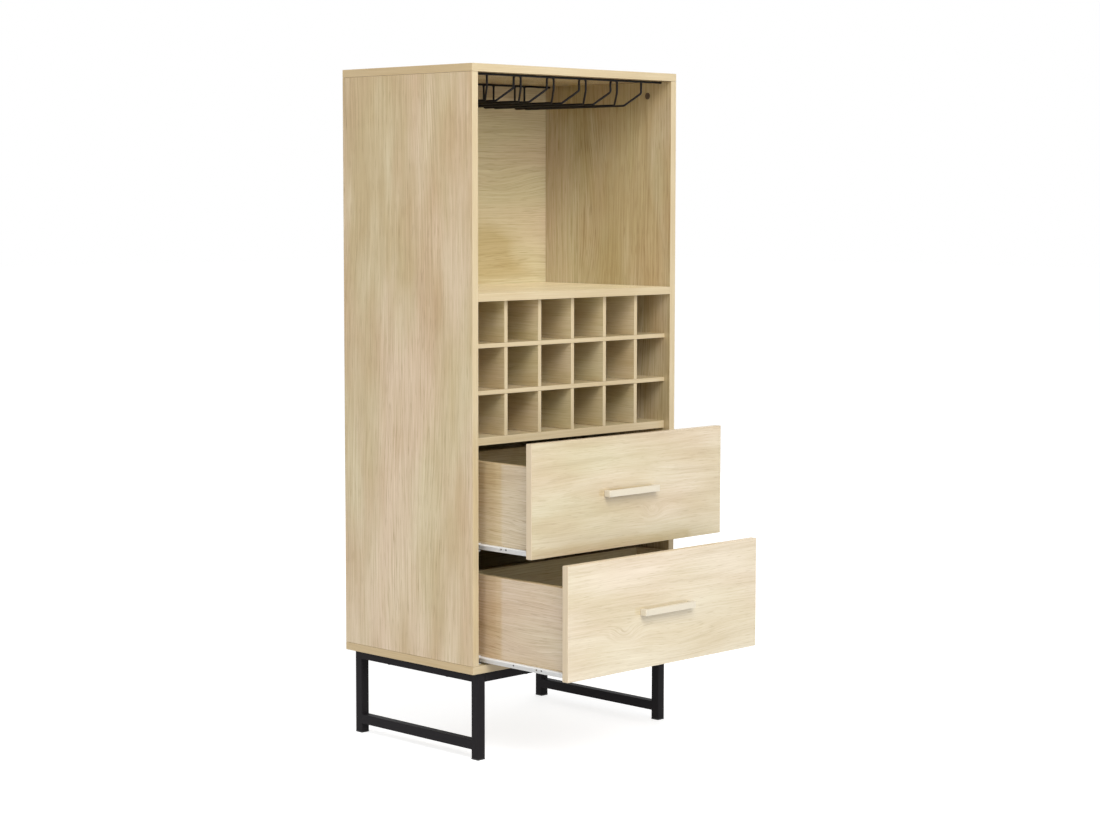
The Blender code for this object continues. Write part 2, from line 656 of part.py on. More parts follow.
def make_drawer_runner(name, side, drawer, side_cuts):
    """Makes the angle under a drawer side, with its flush screws and its roller's axle."""
    foot = RUNNER_SPACE + ANGLE_FOOT
    low = ANGLE_BASE_RISE
    turn = LIP_TOP - LIP_TURN
    outline = ((ANGLE_WALL, low), (foot, low), (foot, low + SHEET), (ANGLE_INNER, low + SHEET),
               (ANGLE_INNER, LIP_TOP), (LIP_EDGE, LIP_TOP), (LIP_EDGE, turn), (LIP_EDGE + SHEET, turn),
               (LIP_EDGE + SHEET, LIP_UNDER), (ANGLE_WALL, LIP_UNDER))
    bm, fittings, spare = bmesh.new(), bmesh.new(), bmesh.new()
    extruded(bm, outline, FRONT_BOARD + FIT, ANGLE_REAR, from_strip(side))
    axle(fittings, side, ANGLE_WALL, ROLLER_NEAR - FIT, REAR_ROLLER_Y, ROLLER_RISE)
    for share in ANGLE_SCREW_SHARES:
        y = FRONT_BOARD + share * RUNNER_LENGTH
        tip = BOX_HALF - RUNNER_SCREW_BITE
        rod(fittings, (side * (BOX_HALF + FIT + SHEET / 2), y, ANGLE_SCREW_RISE),
            (side * tip, y, ANGLE_SCREW_RISE), RUNNER_SCREW_RADIUS, SCREW_SIDES)
        hole(side_cuts, (side * BOX_HALF, y, ANGLE_SCREW_RISE), (-side, 0, 0), RUNNER_SCREW_BITE,
             RUNNER_SCREW_RADIUS)
    y = FRONT_BOARD + ANGLE_SPARE_HOLE_SHARE * RUNNER_LENGTH
    hole(spare, (side * (RUN_FACE - ANGLE_WALL), y, ANGLE_SCREW_RISE), (-side, 0, 0), SHEET,
         RUNNER_SCREW_RADIUS)
    item = piece(name, bm, WHITE_STEEL, drawer)
    join(item, fittings)
    cut(item, spare)


def make_roller(name, side, y, z, parent):
    """Makes one nylon roller, bored for its axle, with its origin on the axle's line."""
    bore = AXLE_RADIUS + FIT
    width = ROLLER_FAR - ROLLER_NEAR
    rings = ((0, bore), (0, ROLLER_RADIUS), (width, ROLLER_RADIUS), (width, bore))
    start = Vector((side * (RUN_FACE - ROLLER_NEAR), y, z))
    bm = bmesh.new()
    turned(bm, start, (-side, 0, 0), rings, ROLLER_SIDES, hollow=True)
    piece(name, bm, NYLON, parent, pivot=start, smooth=True)


def handle_screw_places():
    """Returns the x of the two handle screws, in the middle of the handle's legs."""
    reach = HANDLE_LENGTH / 2 - HANDLE_LEG / 2
    return (-reach, reach)


def make_drawer_front(label, drawer, cuts):
    """Makes the drawer front, grooved behind for the base board and bored for the handle."""
    bm = bmesh.new()
    box(bm, (-FRONT_HALF, 0, 0), (FRONT_HALF, FRONT_BOARD, FRONT_HEIGHT))
    reach = BOX_INNER + BOX_GROOVE
    box(cuts, (-reach, FRONT_BOARD - BOX_GROOVE, BASE_LOW - FIT),
        (reach, FRONT_BOARD + OVERRUN, BASE_LOW + BOX_BASE + FIT))
    for x in handle_screw_places():
        hole(cuts, (x, FRONT_BOARD, FRONT_HEIGHT / 2), (0, -1, 0), FRONT_BOARD + OVERRUN,
             HANDLE_SCREW_RADIUS)
    cut(piece(label + "_front", bm, OAK, drawer), cuts)


def make_handle(label, drawer):
    """Makes the bow handle, joined to the two screws that hold it from inside the drawer."""
    half = HANDLE_LENGTH / 2
    inner = half - HANDLE_LEG
    grip = HANDLE_BAR - HANDLE_REACH
    corner = HANDLE_ROUND
    outline = [(-half, -FIT), (-inner, -FIT), (-inner, grip), (inner, grip), (inner, -FIT), (half, -FIT)]
    outline += arc((half - corner, corner - HANDLE_REACH), corner, 0, -pi / 2, BEND_STEPS)
    outline += arc((corner - half, corner - HANDLE_REACH), corner, -pi / 2, -pi, BEND_STEPS)
    low = FRONT_HEIGHT / 2 - HANDLE_HEIGHT / 2
    bm, screws = bmesh.new(), bmesh.new()
    extruded(bm, outline, low, low + HANDLE_HEIGHT, lambda u, v, w: (u, v, w))
    for x in handle_screw_places():
        screw(screws, (x, FRONT_BOARD + FIT, FRONT_HEIGHT / 2), (0, -1, 0), FIT + FRONT_BOARD - grip,
              HANDLE_SCREW_RADIUS, HANDLE_SCREW_HEAD_RADIUS, HANDLE_SCREW_HEAD)
    join(piece(label + "_handle", bm, CREAM, drawer), screws)


def make_drawer_sides(label, drawer, front_cuts, side_cuts, back_tenons):
    """Makes the sides of a drawer, doweled to its front and back and grooved for its base."""
    for side, side_name in ((-1, "left"), (1, "right")):
        cuts = side_cuts[side]
        bm, tenons = bmesh.new(), bmesh.new()
        sided_box(bm, side, (BOX_INNER, FRONT_BOARD + FIT, BOX_LOW), (BOX_HALF, BOX_REAR, BOX_TOP))
        sided_box(cuts, side, (BOX_INNER - OVERRUN, FRONT_BOARD - OVERRUN, BASE_LOW - FIT),
                  (BOX_INNER + BOX_GROOVE, BASE_REAR, BASE_LOW + BOX_BASE + FIT))
        for share in BOX_DOWEL_SHARES:
            z = BOX_LOW + share * BOX_HEIGHT
            front_end = (side * (BOX_HALF - BOX_BOARD / 2), FRONT_BOARD + FIT, z)
            back_end = (side * (BOX_INNER - FIT), BOX_REAR - BOX_BOARD / 2, z)
            dowel(tenons, front_cuts, front_end, (0, -1, 0), BOX_DOWEL_RADIUS, BOX_DOWEL_REACH)
            dowel(back_tenons, cuts, back_end, (side, 0, 0), BOX_DOWEL_RADIUS, BOX_DOWEL_REACH)
        item = piece(f"{label}_{side_name}_side", bm, OAK, drawer)
        join(item, tenons)
        cut(item, cuts)


def make_drawer_back(label, drawer, tenons):
    """Makes the back of a drawer, doweled between the sides and grooved for the base."""
    bm, groove = bmesh.new(), bmesh.new()
    box(bm, (FIT - BOX_INNER, BOX_REAR - BOX_BOARD, BOX_LOW), (BOX_INNER - FIT, BOX_REAR, BOX_TOP))
    box(groove, (-BOX_HALF, BOX_REAR - BOX_BOARD - OVERRUN, BASE_LOW - FIT),
        (BOX_HALF, BASE_REAR, BASE_LOW + BOX_BASE + FIT))
    item = piece(label + "_back", bm, OAK, drawer)
    join(item, tenons)
    cut(item, groove)


def make_drawer_base(label, drawer):
    """Makes the thin base board, held in grooves all round."""
    bm = bmesh.new()
    reach = BOX_INNER + BOX_GROOVE - FIT
    box(bm, (-reach, FRONT_BOARD - BOX_GROOVE + FIT, BASE_LOW),
        (reach, BASE_REAR - FIT, BASE_LOW + BOX_BASE))
    piece(label + "_base", bm, OAK_BACK, drawer)


def make_drawer(label, level, opening, cabinet):
    """Makes one drawer in its own frame: y from its front face, z from the front's lower edge."""
    drawer = empty(label, (0, -opening, level), cabinet)
    front_cuts, back_tenons = bmesh.new(), bmesh.new()
    side_cuts = {-1: bmesh.new(), 1: bmesh.new()}
    for side, side_name in ((-1, "left"), (1, "right")):
        make_drawer_runner(f"{label}_{side_name}_runner", side, drawer, side_cuts[side])
        make_roller(f"{label}_{side_name}_roller", side, REAR_ROLLER_Y, ROLLER_RISE, drawer)
    make_drawer_sides(label, drawer, front_cuts, side_cuts, back_tenons)
    make_drawer_back(label, drawer, back_tenons)
    make_drawer_base(label, drawer)
    make_drawer_front(label, drawer, front_cuts)
    make_handle(label, drawer)


def make_cabinet_runners(cabinet):
    """Makes the channels on the spacer strips and the roller near the front of each."""
    for level, label in ((LOWER_LEVEL, "lower"), (UPPER_LEVEL, "upper")):
        for side, side_name in ((-1, "left"), (1, "right")):
            name = f"{label}_{side_name}_cabinet"
            make_cabinet_runner(name + "_runner", side, level, cabinet)
            make_roller(name + "_roller", side, FRONT_ROLLER_Y, level + ROLLER_RISE, cabinet)


def main():
    clear_scene()
    cabinet = empty("cabinet", (0, FRONT_Y, 0))
    side_cuts = {-1: bmesh.new(), 1: bmesh.new()}
    make_end_panels(cabinet)
    make_shelves(cabinet, side_cuts)
    make_side_panels(cabinet, side_cuts)
    make_back_panel(cabinet)
    make_bottle_grid(cabinet)
    make_base(cabinet)
    make_glass_rack(cabinet)
    make_cabinet_runners(cabinet)
    make_drawer("lower_drawer", LOWER_LEVEL, LOWER_OPEN, cabinet)
    make_drawer("upper_drawer", UPPER_LEVEL, UPPER_OPEN, cabinet)


main()
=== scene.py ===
"""Looks of the bar cabinet: oak laminate boards, black steel, wire rack, runners and handles.

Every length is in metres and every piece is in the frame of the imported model.
"""

import json
from math import cos, pi, radians, sin, tan, tau

import bmesh
import bpy
from mathutils import Matrix, Vector

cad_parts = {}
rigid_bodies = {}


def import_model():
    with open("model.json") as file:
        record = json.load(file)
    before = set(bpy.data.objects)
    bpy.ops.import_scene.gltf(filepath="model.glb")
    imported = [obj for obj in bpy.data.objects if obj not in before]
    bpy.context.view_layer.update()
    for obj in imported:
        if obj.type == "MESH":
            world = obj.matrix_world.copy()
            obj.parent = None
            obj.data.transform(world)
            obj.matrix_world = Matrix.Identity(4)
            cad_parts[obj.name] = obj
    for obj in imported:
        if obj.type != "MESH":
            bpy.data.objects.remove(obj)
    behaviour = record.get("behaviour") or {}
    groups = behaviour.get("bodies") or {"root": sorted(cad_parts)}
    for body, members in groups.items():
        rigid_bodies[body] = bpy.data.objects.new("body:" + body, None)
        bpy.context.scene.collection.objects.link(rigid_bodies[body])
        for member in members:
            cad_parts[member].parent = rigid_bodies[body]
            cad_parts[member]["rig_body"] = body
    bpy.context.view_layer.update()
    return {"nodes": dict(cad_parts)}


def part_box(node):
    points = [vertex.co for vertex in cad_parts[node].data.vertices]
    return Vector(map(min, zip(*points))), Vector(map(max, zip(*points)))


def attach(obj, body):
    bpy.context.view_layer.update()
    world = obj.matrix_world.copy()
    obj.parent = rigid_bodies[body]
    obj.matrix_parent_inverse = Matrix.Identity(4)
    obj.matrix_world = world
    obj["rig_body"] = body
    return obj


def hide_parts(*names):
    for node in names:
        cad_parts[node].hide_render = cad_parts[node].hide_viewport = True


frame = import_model()

# The photograph's camera: place, turn towards +X, tilt down, roll, and focal length on a 36 mm sensor
CAMERA_PLACE = (-3.56632, -3.55017, 1.14072)
CAMERA_YAW = 0.78523
CAMERA_PITCH = 0.08941
CAMERA_ROLL = 0.00121
CAMERA_LENS = 78.66
SENSOR_WIDTH = 36.0

# Rounded edges, how long a board's edge has to be to get one, how far a coordinate may lie off a plane
# and still be on it, how squarely a face has to look along an axis, and the angles between faces that
# are flat, smooth, or an edge to be rounded
EDGE_ROUND = 0.0005
HANDLE_ROUND = 0.0009
GLIDE_ROUND = 0.0003
LONG_EDGE = 20 * EDGE_ROUND
ON_PLANE = 0.00002
SQUARE = 0.999
FLAT_ANGLE, SMOOTH_ANGLE, ROUNDED_ANGLE = radians(0.5), radians(35), radians(45)

# Places and sizes of the solids that finer pieces stand for
FIT = 0.0003
INNER = 0.284
TOP_UNDER = 1.387
CARCASS_FRONT, CARCASS_BACK = (corner.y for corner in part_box("left_side_panel"))
CARCASS_DEPTH = CARCASS_BACK - CARCASS_FRONT
BACK_FACE = CARCASS_FRONT + 0.381
BOTTOM_TOP = 0.196
LEVELS = {"lower": 0.1975, "upper": 0.428}
SIDES = {"left": -1, "right": 1}

# Stemware rack
WIRE_RADIUS = 0.00225
WIRE_SOCKET = 0.008
HANGER_Y = CARCASS_FRONT + 0.035
HANGER_PITCH = 2 * INNER / 6
HANGER_TOP_HALF = 0.010
HANGER_RAIL_HALF = 0.0325
HANGER_KNEE_Z = TOP_UNDER - 0.027
HANGER_RAIL_Z = TOP_UNDER - 0.053
HANGER_SLOPE_RUN = 0.029
HANGER_BEND = 0.006
CROSS_WIRE_Z = TOP_UNDER - FIT - WIRE_RADIUS
FRONT_WIRE_Y = HANGER_Y - 2 * WIRE_RADIUS - FIT
REAR_WIRE_Y = BACK_FACE - 0.013
WELD_SIZE, WELD_DROP = (0.0042, 0.0036, 0.0021), 0.0004
END_WELD_SIZE = (0.0031, 0.0031, 0.0026)

# Runners, out from the strips they are screwed to and up from each drawer front's lower edge
RUN_FACE = 0.2725
SHEET = 0.001
BEND_OUTER, BEND_INNER, EDGE_SOFT = 0.0012, 0.0003, 0.0003
CHANNEL_WALL, CHANNEL_EDGE = 0.0013, 0.0105
CHANNEL_LOW, CHANNEL_TOP = -0.0012, 0.0153
CHANNEL_Y = (CARCASS_FRONT + 0.017, CARCASS_FRONT + 0.317)
CHANNEL_SCREW_SHARES = (0.15, 0.52, 0.90)
ANGLE_WALL, ANGLE_INNER, ANGLE_FOOT = 0.0112, 0.0122, 0.0230
ANGLE_LOW, LIP_EDGE, LIP_UNDER, LIP_TOP, LIP_TURN = 0.0015, 0.0030, 0.0130, 0.0140, 0.0115
ANGLE_Y = (0.0153, 0.315)
ANGLE_SCREW_YS = (0.0939, 0.1734)
ANGLE_SPARE_Y = 0.108
ANGLE_SCREW_RISE = 0.008
ANGLE_HOLE, ANGLE_SCREW_SINK = 0.0022, 0.0004
BOX_HALF, PILOT_RADIUS, PILOT_DEPTH = 0.260, 0.0025, 0.009
AXLE_RADIUS, AXLE_HEAD_RADIUS, AXLE_HEAD = 0.002, 0.0035, 0.0007
AXLE_HEAD_SHARES = ((0.0, 1.0), (0.5, 1.0), (0.85, 0.9), (1.0, 0.7))
ROLLER_NEAR, ROLLER_FAR, ROLLER_RADIUS, ROLLER_RISE = 0.0044, 0.0099, 0.0063, 0.0064
ROLLER_FACE = ((0.0, 0.0036), (0.0003, 0.0039), (0.0003, 0.0047), (0.0, 0.0050))
ROLLER_RIM = ((0.0, 0.0006), (0.0002, 0.0002), (0.0006, 0.0))
FRONT_ROLLER_Y, REAR_ROLLER_Y = CARCASS_FRONT + 0.027, 0.305

# Base: the tube, the ends of the side frames, and where the screws under it stand
TUBE = 0.020
FRAME_ENDS = (CARCASS_FRONT + 0.017, CARCASS_FRONT + 0.378)
RAIL_REACH = 0.270
BASE_SCREW_SHARES = (0.25, 0.75)
BASE_SCREW_STAND = 0.003

# Heads with a cross recess: radius, height, half length and half width of the cross, and its depth.
# Their rims are softened by shares of the height.
HEAD_SOFT_SHARE, HEAD_BREAK_SHARE = 0.35, 0.3
RUNNER_HEAD = (0.0033, 0.0011, 0.0019, 0.00045, 0.0008)
ANGLE_HEAD = (0.0021, 0.0005, 0.0013, 0.0004, 0.0004)
HANDLE_HEAD = (0.0042, 0.0018, 0.0024, 0.0006, 0.0012)
FRAME_HEAD = (0.0045, 0.0020, 0.0026, 0.0006, 0.0013)
CAM_HEAD = (0.0073, 0.0005, 0.0040, 0.0011, 0.0004)
CAM_FRONT, CAM_END = 0.0687, 0.0298
HANDLE_SCREW_IN = 0.005

# Grain: how fast each pattern changes across and along the wood, per metre
WARP_RATES = (11.0, 3.2)
BROAD_RATES = (62.0, 1.8)
STREAK_RATES = (580.0, 4.2)
FINE_RATES = (1150.0, 10.0)
PORE_RATES = (640.0, 22.0)
PATCH_RATES = (13.0, 3.4)
BLUSH_RATES = (8.0, 2.2)
THROUGH_RATE = 40.0
DRIFT_RATE = 5.0
WARP_REACH = 0.008
STREAK_FOLLOW = 0.35
FINE_SHARE, LINE_SHARE = 0.48, 0.7
FIGURE_PLACES, PLAIN_PLACES = (0.12, 0.50, 0.88), (0.1, 0.9)

# How far apart in the noise the patterns of a board lie, and between which values each counts
FINE_LAYER, PATCH_LAYER, BLUSH_LAYER = 5.5, 17.3, 41.7
STREAK_LIMITS, PORE_LIMITS = (0.30, 0.70), (0.60, 0.72)
PATCH_LIMITS, BLUSH_LIMITS, DRIFT_LIMITS = (0.34, 0.66), (0.38, 0.62), (0.35, 0.65)

# Haze, relief, and how far the roughness swings
HAZE_ROUGHNESS = 0.35
HAZE_TINT = (1.0, 0.88, 0.62, 1.0)
GRAIN_RELIEF, PLAIN_RELIEF = 0.00002, 0.00003
BUMP_STRENGTH = 0.5
OAK_ROUGH_SHARES = (1.2, 0.8)
PLAIN_ROUGH_SWING, SPECK_ROUGH_SWING = 0.05, 0.06

# Tones that clouds and pores multiply the colour by, from none to full
PATCH_TONES = ((0.90, 0.86, 0.78), (1.04, 1.06, 1.10))
BLUSH_TONES = ((0.985, 1.008, 0.965), (1.012, 0.980, 0.985))
PORE_TONES = ((1.0, 1.0, 1.0), (0.80, 0.76, 0.70))

# Colours, linear
OAK_DARK = (0.475, 0.350, 0.195)
OAK_MIDDLE = (0.620, 0.485, 0.305)
OAK_LIGHT = (0.720, 0.590, 0.400)
FRONT_BAND_DARK = (0.626, 0.503, 0.338)
FRONT_BAND_LIGHT = (0.682, 0.562, 0.394)
BAND_DARK = (0.505, 0.396, 0.230)
BAND_LIGHT = (0.583, 0.480, 0.306)
END_BAND_DARK = (0.530, 0.388, 0.202)
END_BAND_LIGHT = (0.613, 0.470, 0.268)
CHIP_DARK = (0.330, 0.230, 0.125)
CHIP_LIGHT = (0.640, 0.500, 0.320)
BEECH_DARK = (0.520, 0.350, 0.200)
BEECH_LIGHT = (0.700, 0.520, 0.330)
FIBRE_DARK = (0.250, 0.165, 0.090)
FIBRE_LIGHT = (0.360, 0.250, 0.150)

X, Y, Z = 0, 1, 2

# Mounds of the grain, and of the tone (stains, and on the right side one painted shade): across,
# along, half width, half length, height. The side panels give the first as a share of the carcass's depth.
LEFT_HEARTS = ((0.22, 0.95, 0.055, 0.55, 0.090), (0.72, 0.42, 0.050, 0.42, -0.080),
               (0.92, 1.25, 0.045, 0.30, 0.070))
RIGHT_HEARTS = ((0.55, 1.12, 0.045, 0.22, 0.090), (0.30, 0.55, 0.050, 0.40, -0.080))
# The right side's second mound is painted shade: it darkens the top band of the inner wall, under the top
# panel.
RIGHT_STAINS_AND_SHADE = ((0.47, 1.05, 0.050, 0.34, -0.26), (0.65, 1.40, 0.240, 0.070, -0.55))
BACK_HEARTS = ((1.16, 0.12, 0.045, 0.16, 0.080), (1.02, 0.22, 0.030, 0.20, -0.050),
               (0.50, 0.00, 0.060, 0.30, 0.080))
BACK_STAINS = ((1.190, 0.150, 0.018, 0.080, -0.26), (1.110, 0.200, 0.045, 0.120, 0.30),
               (1.020, 0.110, 0.036, 0.075, -0.36))
FRONT_HEARTS = {
    "upper": ((0.492, 0.070, 0.015, 0.026, 0.052), (0.580, -0.080, 0.040, 0.150, -0.030)),
    "lower": ((0.270, -0.120, 0.018, 0.040, 0.052), (0.240, 0.060, 0.028, 0.110, 0.036)),
}
BASE_HEART = (-0.15, 0.1, 0.04, 0.2, 0.05)

# Mounds of the boards that repeat, and how far across and along each board's is moved from the last.
# The drawers' are placed across from the lower edge of the drawer front.
BOARD_HEART, BOARD_HEART_STEP = (0.25, 0.20, 0.040, 0.20, 0.060), (0.11, -0.09)
DIVIDER_HEART, DIVIDER_HEART_STEP = (0.70, 0.00, 0.025, 0.10, 0.040), (0.04, 0.05)
BOX_HEART, BOX_HEART_STEP = (0.05, -0.20, 0.030, 0.12, 0.045), (0.07, 0.00)
DRAWER_BACK_HEART = (0.09, 0.10, 0.030, 0.10, 0.040)

# How each kind of board differs from plain oak laminate; see oak(). Some of these tints, drifts and leans are
# painted light and shade, as noted at each
# Painted light: drift pales the left side towards the bottom, for the light that the floor throws up onto it.
LEFT_LOOK = dict(seed=1.0, tint=(1.04, 1.045, 1.055), cloud=1.4, drift=(-0.17, 0.79))
# Painted light and shade: the right side's low tint darkens its shaded inner wall, and lean pales it towards
# the rear corner, where light reaches.
RIGHT_LOOK = dict(seed=39.4, tint=(0.88, 0.94, 0.97), contrast=1.15, cloud=1.35, gloss=1.75,
                  lean=(1.2, CARCASS_FRONT + 0.45 * CARCASS_DEPTH))
# Painted light: drift pales the back towards its right-hand corner, and lean pales it higher up.
BACK_LOOK = dict(seed=35.0, tint=(0.96, 1.02, 1.03), contrast=0.8, cloud=1.2, gloss=1.20, rough=0.30,
                 drift=(1.5, 0.04), lean=(0.5, 1.10))
# Painted shade: the top's low tint darkens it for the shade on its underside.
TOP_LOOK = dict(tint=(0.84, 0.87, 0.87), contrast=0.9, gloss=1.30, rough=0.30)
# Painted light: the shelf's high tint makes it far paler than the other boards of the same laminate, for the
# light falling on its top.
SHELF_LOOK = dict(tint=(1.34, 1.44, 1.45), contrast=0.6, gloss=1.40, rough=0.25, haze=0.6)
INSIDE_LOOK = dict(tint=(0.97, 1.02, 1.02), contrast=0.8, gloss=1.35, rough=0.20)
GRID_LOOK = dict(tint=(0.94, 0.99, 0.96), contrast=0.6, gloss=1.35, rough=0.20)
FRONT_LOOKS = {"upper": dict(seed=68.0, tint=(0.94, 1.01, 1.08), cloud=1.2),
               "lower": dict(seed=80.4, tint=(1.035, 1.12, 1.29), cloud=0.8)}
FRONT_LOOK = dict(contrast=0.62, dash=1.5, broad=0.36, gloss=1.85)
BOX_LOOK = dict(tint=(0.93, 0.91, 0.91), contrast=1.05, cloud=1.1, dash=1.5, gloss=1.92)
DRAWER_LOOK = dict(tint=(0.86, 0.95, 0.98))
BOARD_SEED, BOARD_SEED_STEP = 4.0, 1.7
DIVIDER_SEED, DIVIDER_SEED_STEP = 20.0, 1.3
DRAWER_SEED, DRAWER_SEED_STEP = 31.0, 5.0
BOX_SEED_STEP, DRAWER_BACK_SEED_STEP, DRAWER_BASE_SEED_STEP = 1.1, 3.2, 4.4

# Room light as it falls and as it is seen, the floor's two greys and its glow, and its half size
ROOM_LIGHT, ROOM_SEEN = (0.44, 0.44, 0.44), (1.0, 1.0, 1.0)
FLOOR_GREY, FLOOR_SEEN_GREY, FLOOR_GLOW = 0.60, 0.55, 0.765
FLOOR_REACH = 30.0

# Soft lights: place, aim, size, power in watts, and whether glossy faces show it
SOFTBOXES = {
    "key": ((-2.2, -4.0, 4.8), (0.0, 0.0, 0.8), 3.0, 272.0, True),
    "front": ((-0.6, -5.6, 2.7), (0.0, 0.0, 0.8), 2.6, 110.0, True),
    "fill": ((-4.2, -1.2, 0.7), (0.0, 0.1, 0.6), 1.6, 31.0, True),
    "back": ((3.6, 2.6, 2.4), (0.0, 0.0, 0.7), 2.0, 42.0, False),
}


def feed(tree, socket, value):
    """Links a socket to another, or sets its value."""
    if isinstance(value, bpy.types.NodeSocket):
        tree.links.new(value, socket)
    else:
        socket.default_value = value


def math(tree, operation, *values):
    """Adds a Math node and returns its result."""
    node = tree.nodes.new("ShaderNodeMath")
    node.operation = operation
    for socket, value in zip(node.inputs, values):
        feed(tree, socket, value)
    return node.outputs[0]


def vector_of(tree, x, y, z):
    """Combines three values into a vector."""
    node = tree.nodes.new("ShaderNodeCombineXYZ")
    for socket, value in zip(node.inputs, (x, y, z)):
        feed(tree, socket, value)
    return node.outputs[0]


def noise(tree, vector, detail, roughness=0.5):
    """Adds fractal noise at a vector that is already scaled; returns a value from about 0.2 to 0.8."""
    node = tree.nodes.new("ShaderNodeTexNoise")
    feed(tree, node.inputs["Vector"], vector)
    node.inputs["Scale"].default_value = 1.0
    node.inputs["Detail"].default_value = detail
    node.inputs["Roughness"].default_value = roughness
    return node.outputs["Fac"]


def spread(tree, value, low, high, to_low=0.0, to_high=1.0):
    """Maps a value from one range to another, clamped."""
    node = tree.nodes.new("ShaderNodeMapRange")
    for socket, number in zip(node.inputs, (value, low, high, to_low, to_high)):
        feed(tree, socket, number)
    return node.outputs[0]


def ramp(tree, value, *stops):
    """Adds a colour ramp with (place, colour) stops."""
    node = tree.nodes.new("ShaderNodeValToRGB")
    elements = node.color_ramp.elements
    while len(elements) < len(stops):
        elements.new(0.5)
    for element, (place, colour) in zip(elements, stops):
        element.position = place
        element.color = (*colour, 1.0)
    tree.links.new(value, node.inputs[0])
    return node.outputs[0]


def blended(tree, share, first, second, mode="MIX"):
    """Adds a Mix node for colours."""
    node = tree.nodes.new("ShaderNodeMix")
    node.data_type = "RGBA"
    node.blend_type = mode
    for name, value in (("Factor_Float", share), ("A_Color", first), ("B_Color", second)):
        socket = next(s for s in node.inputs if s.identifier == name)
        feed(tree, socket, value if isinstance(value, (bpy.types.NodeSocket, float)) else (*value, 1.0))
    return next(s for s in node.outputs if s.identifier == "Result_Color")


def bump(tree, shader, height, depth):
    """Gives a shader fine relief of this depth."""
    node = tree.nodes.new("ShaderNodeBump")
    node.inputs["Strength"].default_value = BUMP_STRENGTH
    node.inputs["Distance"].default_value = depth
    tree.links.new(height, node.inputs["Height"])
    tree.links.new(node.outputs[0], shader.inputs["Normal"])


def new_material(name):
    """Makes a node material; returns it with its tree, its shader and the object's coordinates."""
    material = bpy.data.materials.new(name)
    material.use_nodes = True
    tree = material.node_tree
    shader = tree.nodes["Principled BSDF"]
    place = tree.nodes.new("ShaderNodeTexCoord").outputs["Object"]
    return material, tree, shader, place


def axes_of(tree, place, cross, grain):
    """Splits a place into across the grain, along it, and through the board."""
    node = tree.nodes.new("ShaderNodeSeparateXYZ")
    tree.links.new(place, node.inputs[0])
    return node.outputs[cross], node.outputs[grain], node.outputs[3 - cross - grain]


def stretched_noise(tree, across, along, rates, layer, detail=2.0):
    """Returns noise drawn out along the grain."""
    scaled = vector_of(tree, math(tree, "MULTIPLY", across, rates[0]),
                       math(tree, "MULTIPLY", along, rates[1]), layer)
    return noise(tree, scaled, detail)


def swollen(tree, value, across, along, mounds):
    """Raises a value round each mound's middle: (across, along, half width, half length, height)."""
    for middle_across, middle_along, half_width, half_length, height in mounds:
        run = math(tree, "DIVIDE", math(tree, "SUBTRACT", across, middle_across), half_width)
        climb = math(tree, "DIVIDE", math(tree, "SUBTRACT", along, middle_along), half_length)
        square = math(tree, "ADD", math(tree, "MULTIPLY", run, run), math(tree, "MULTIPLY", climb, climb))
        swell = math(tree, "EXPONENT", math(tree, "MULTIPLY", square, -1.0))
        value = math(tree, "MULTIPLY_ADD", swell, height, value)
    return value


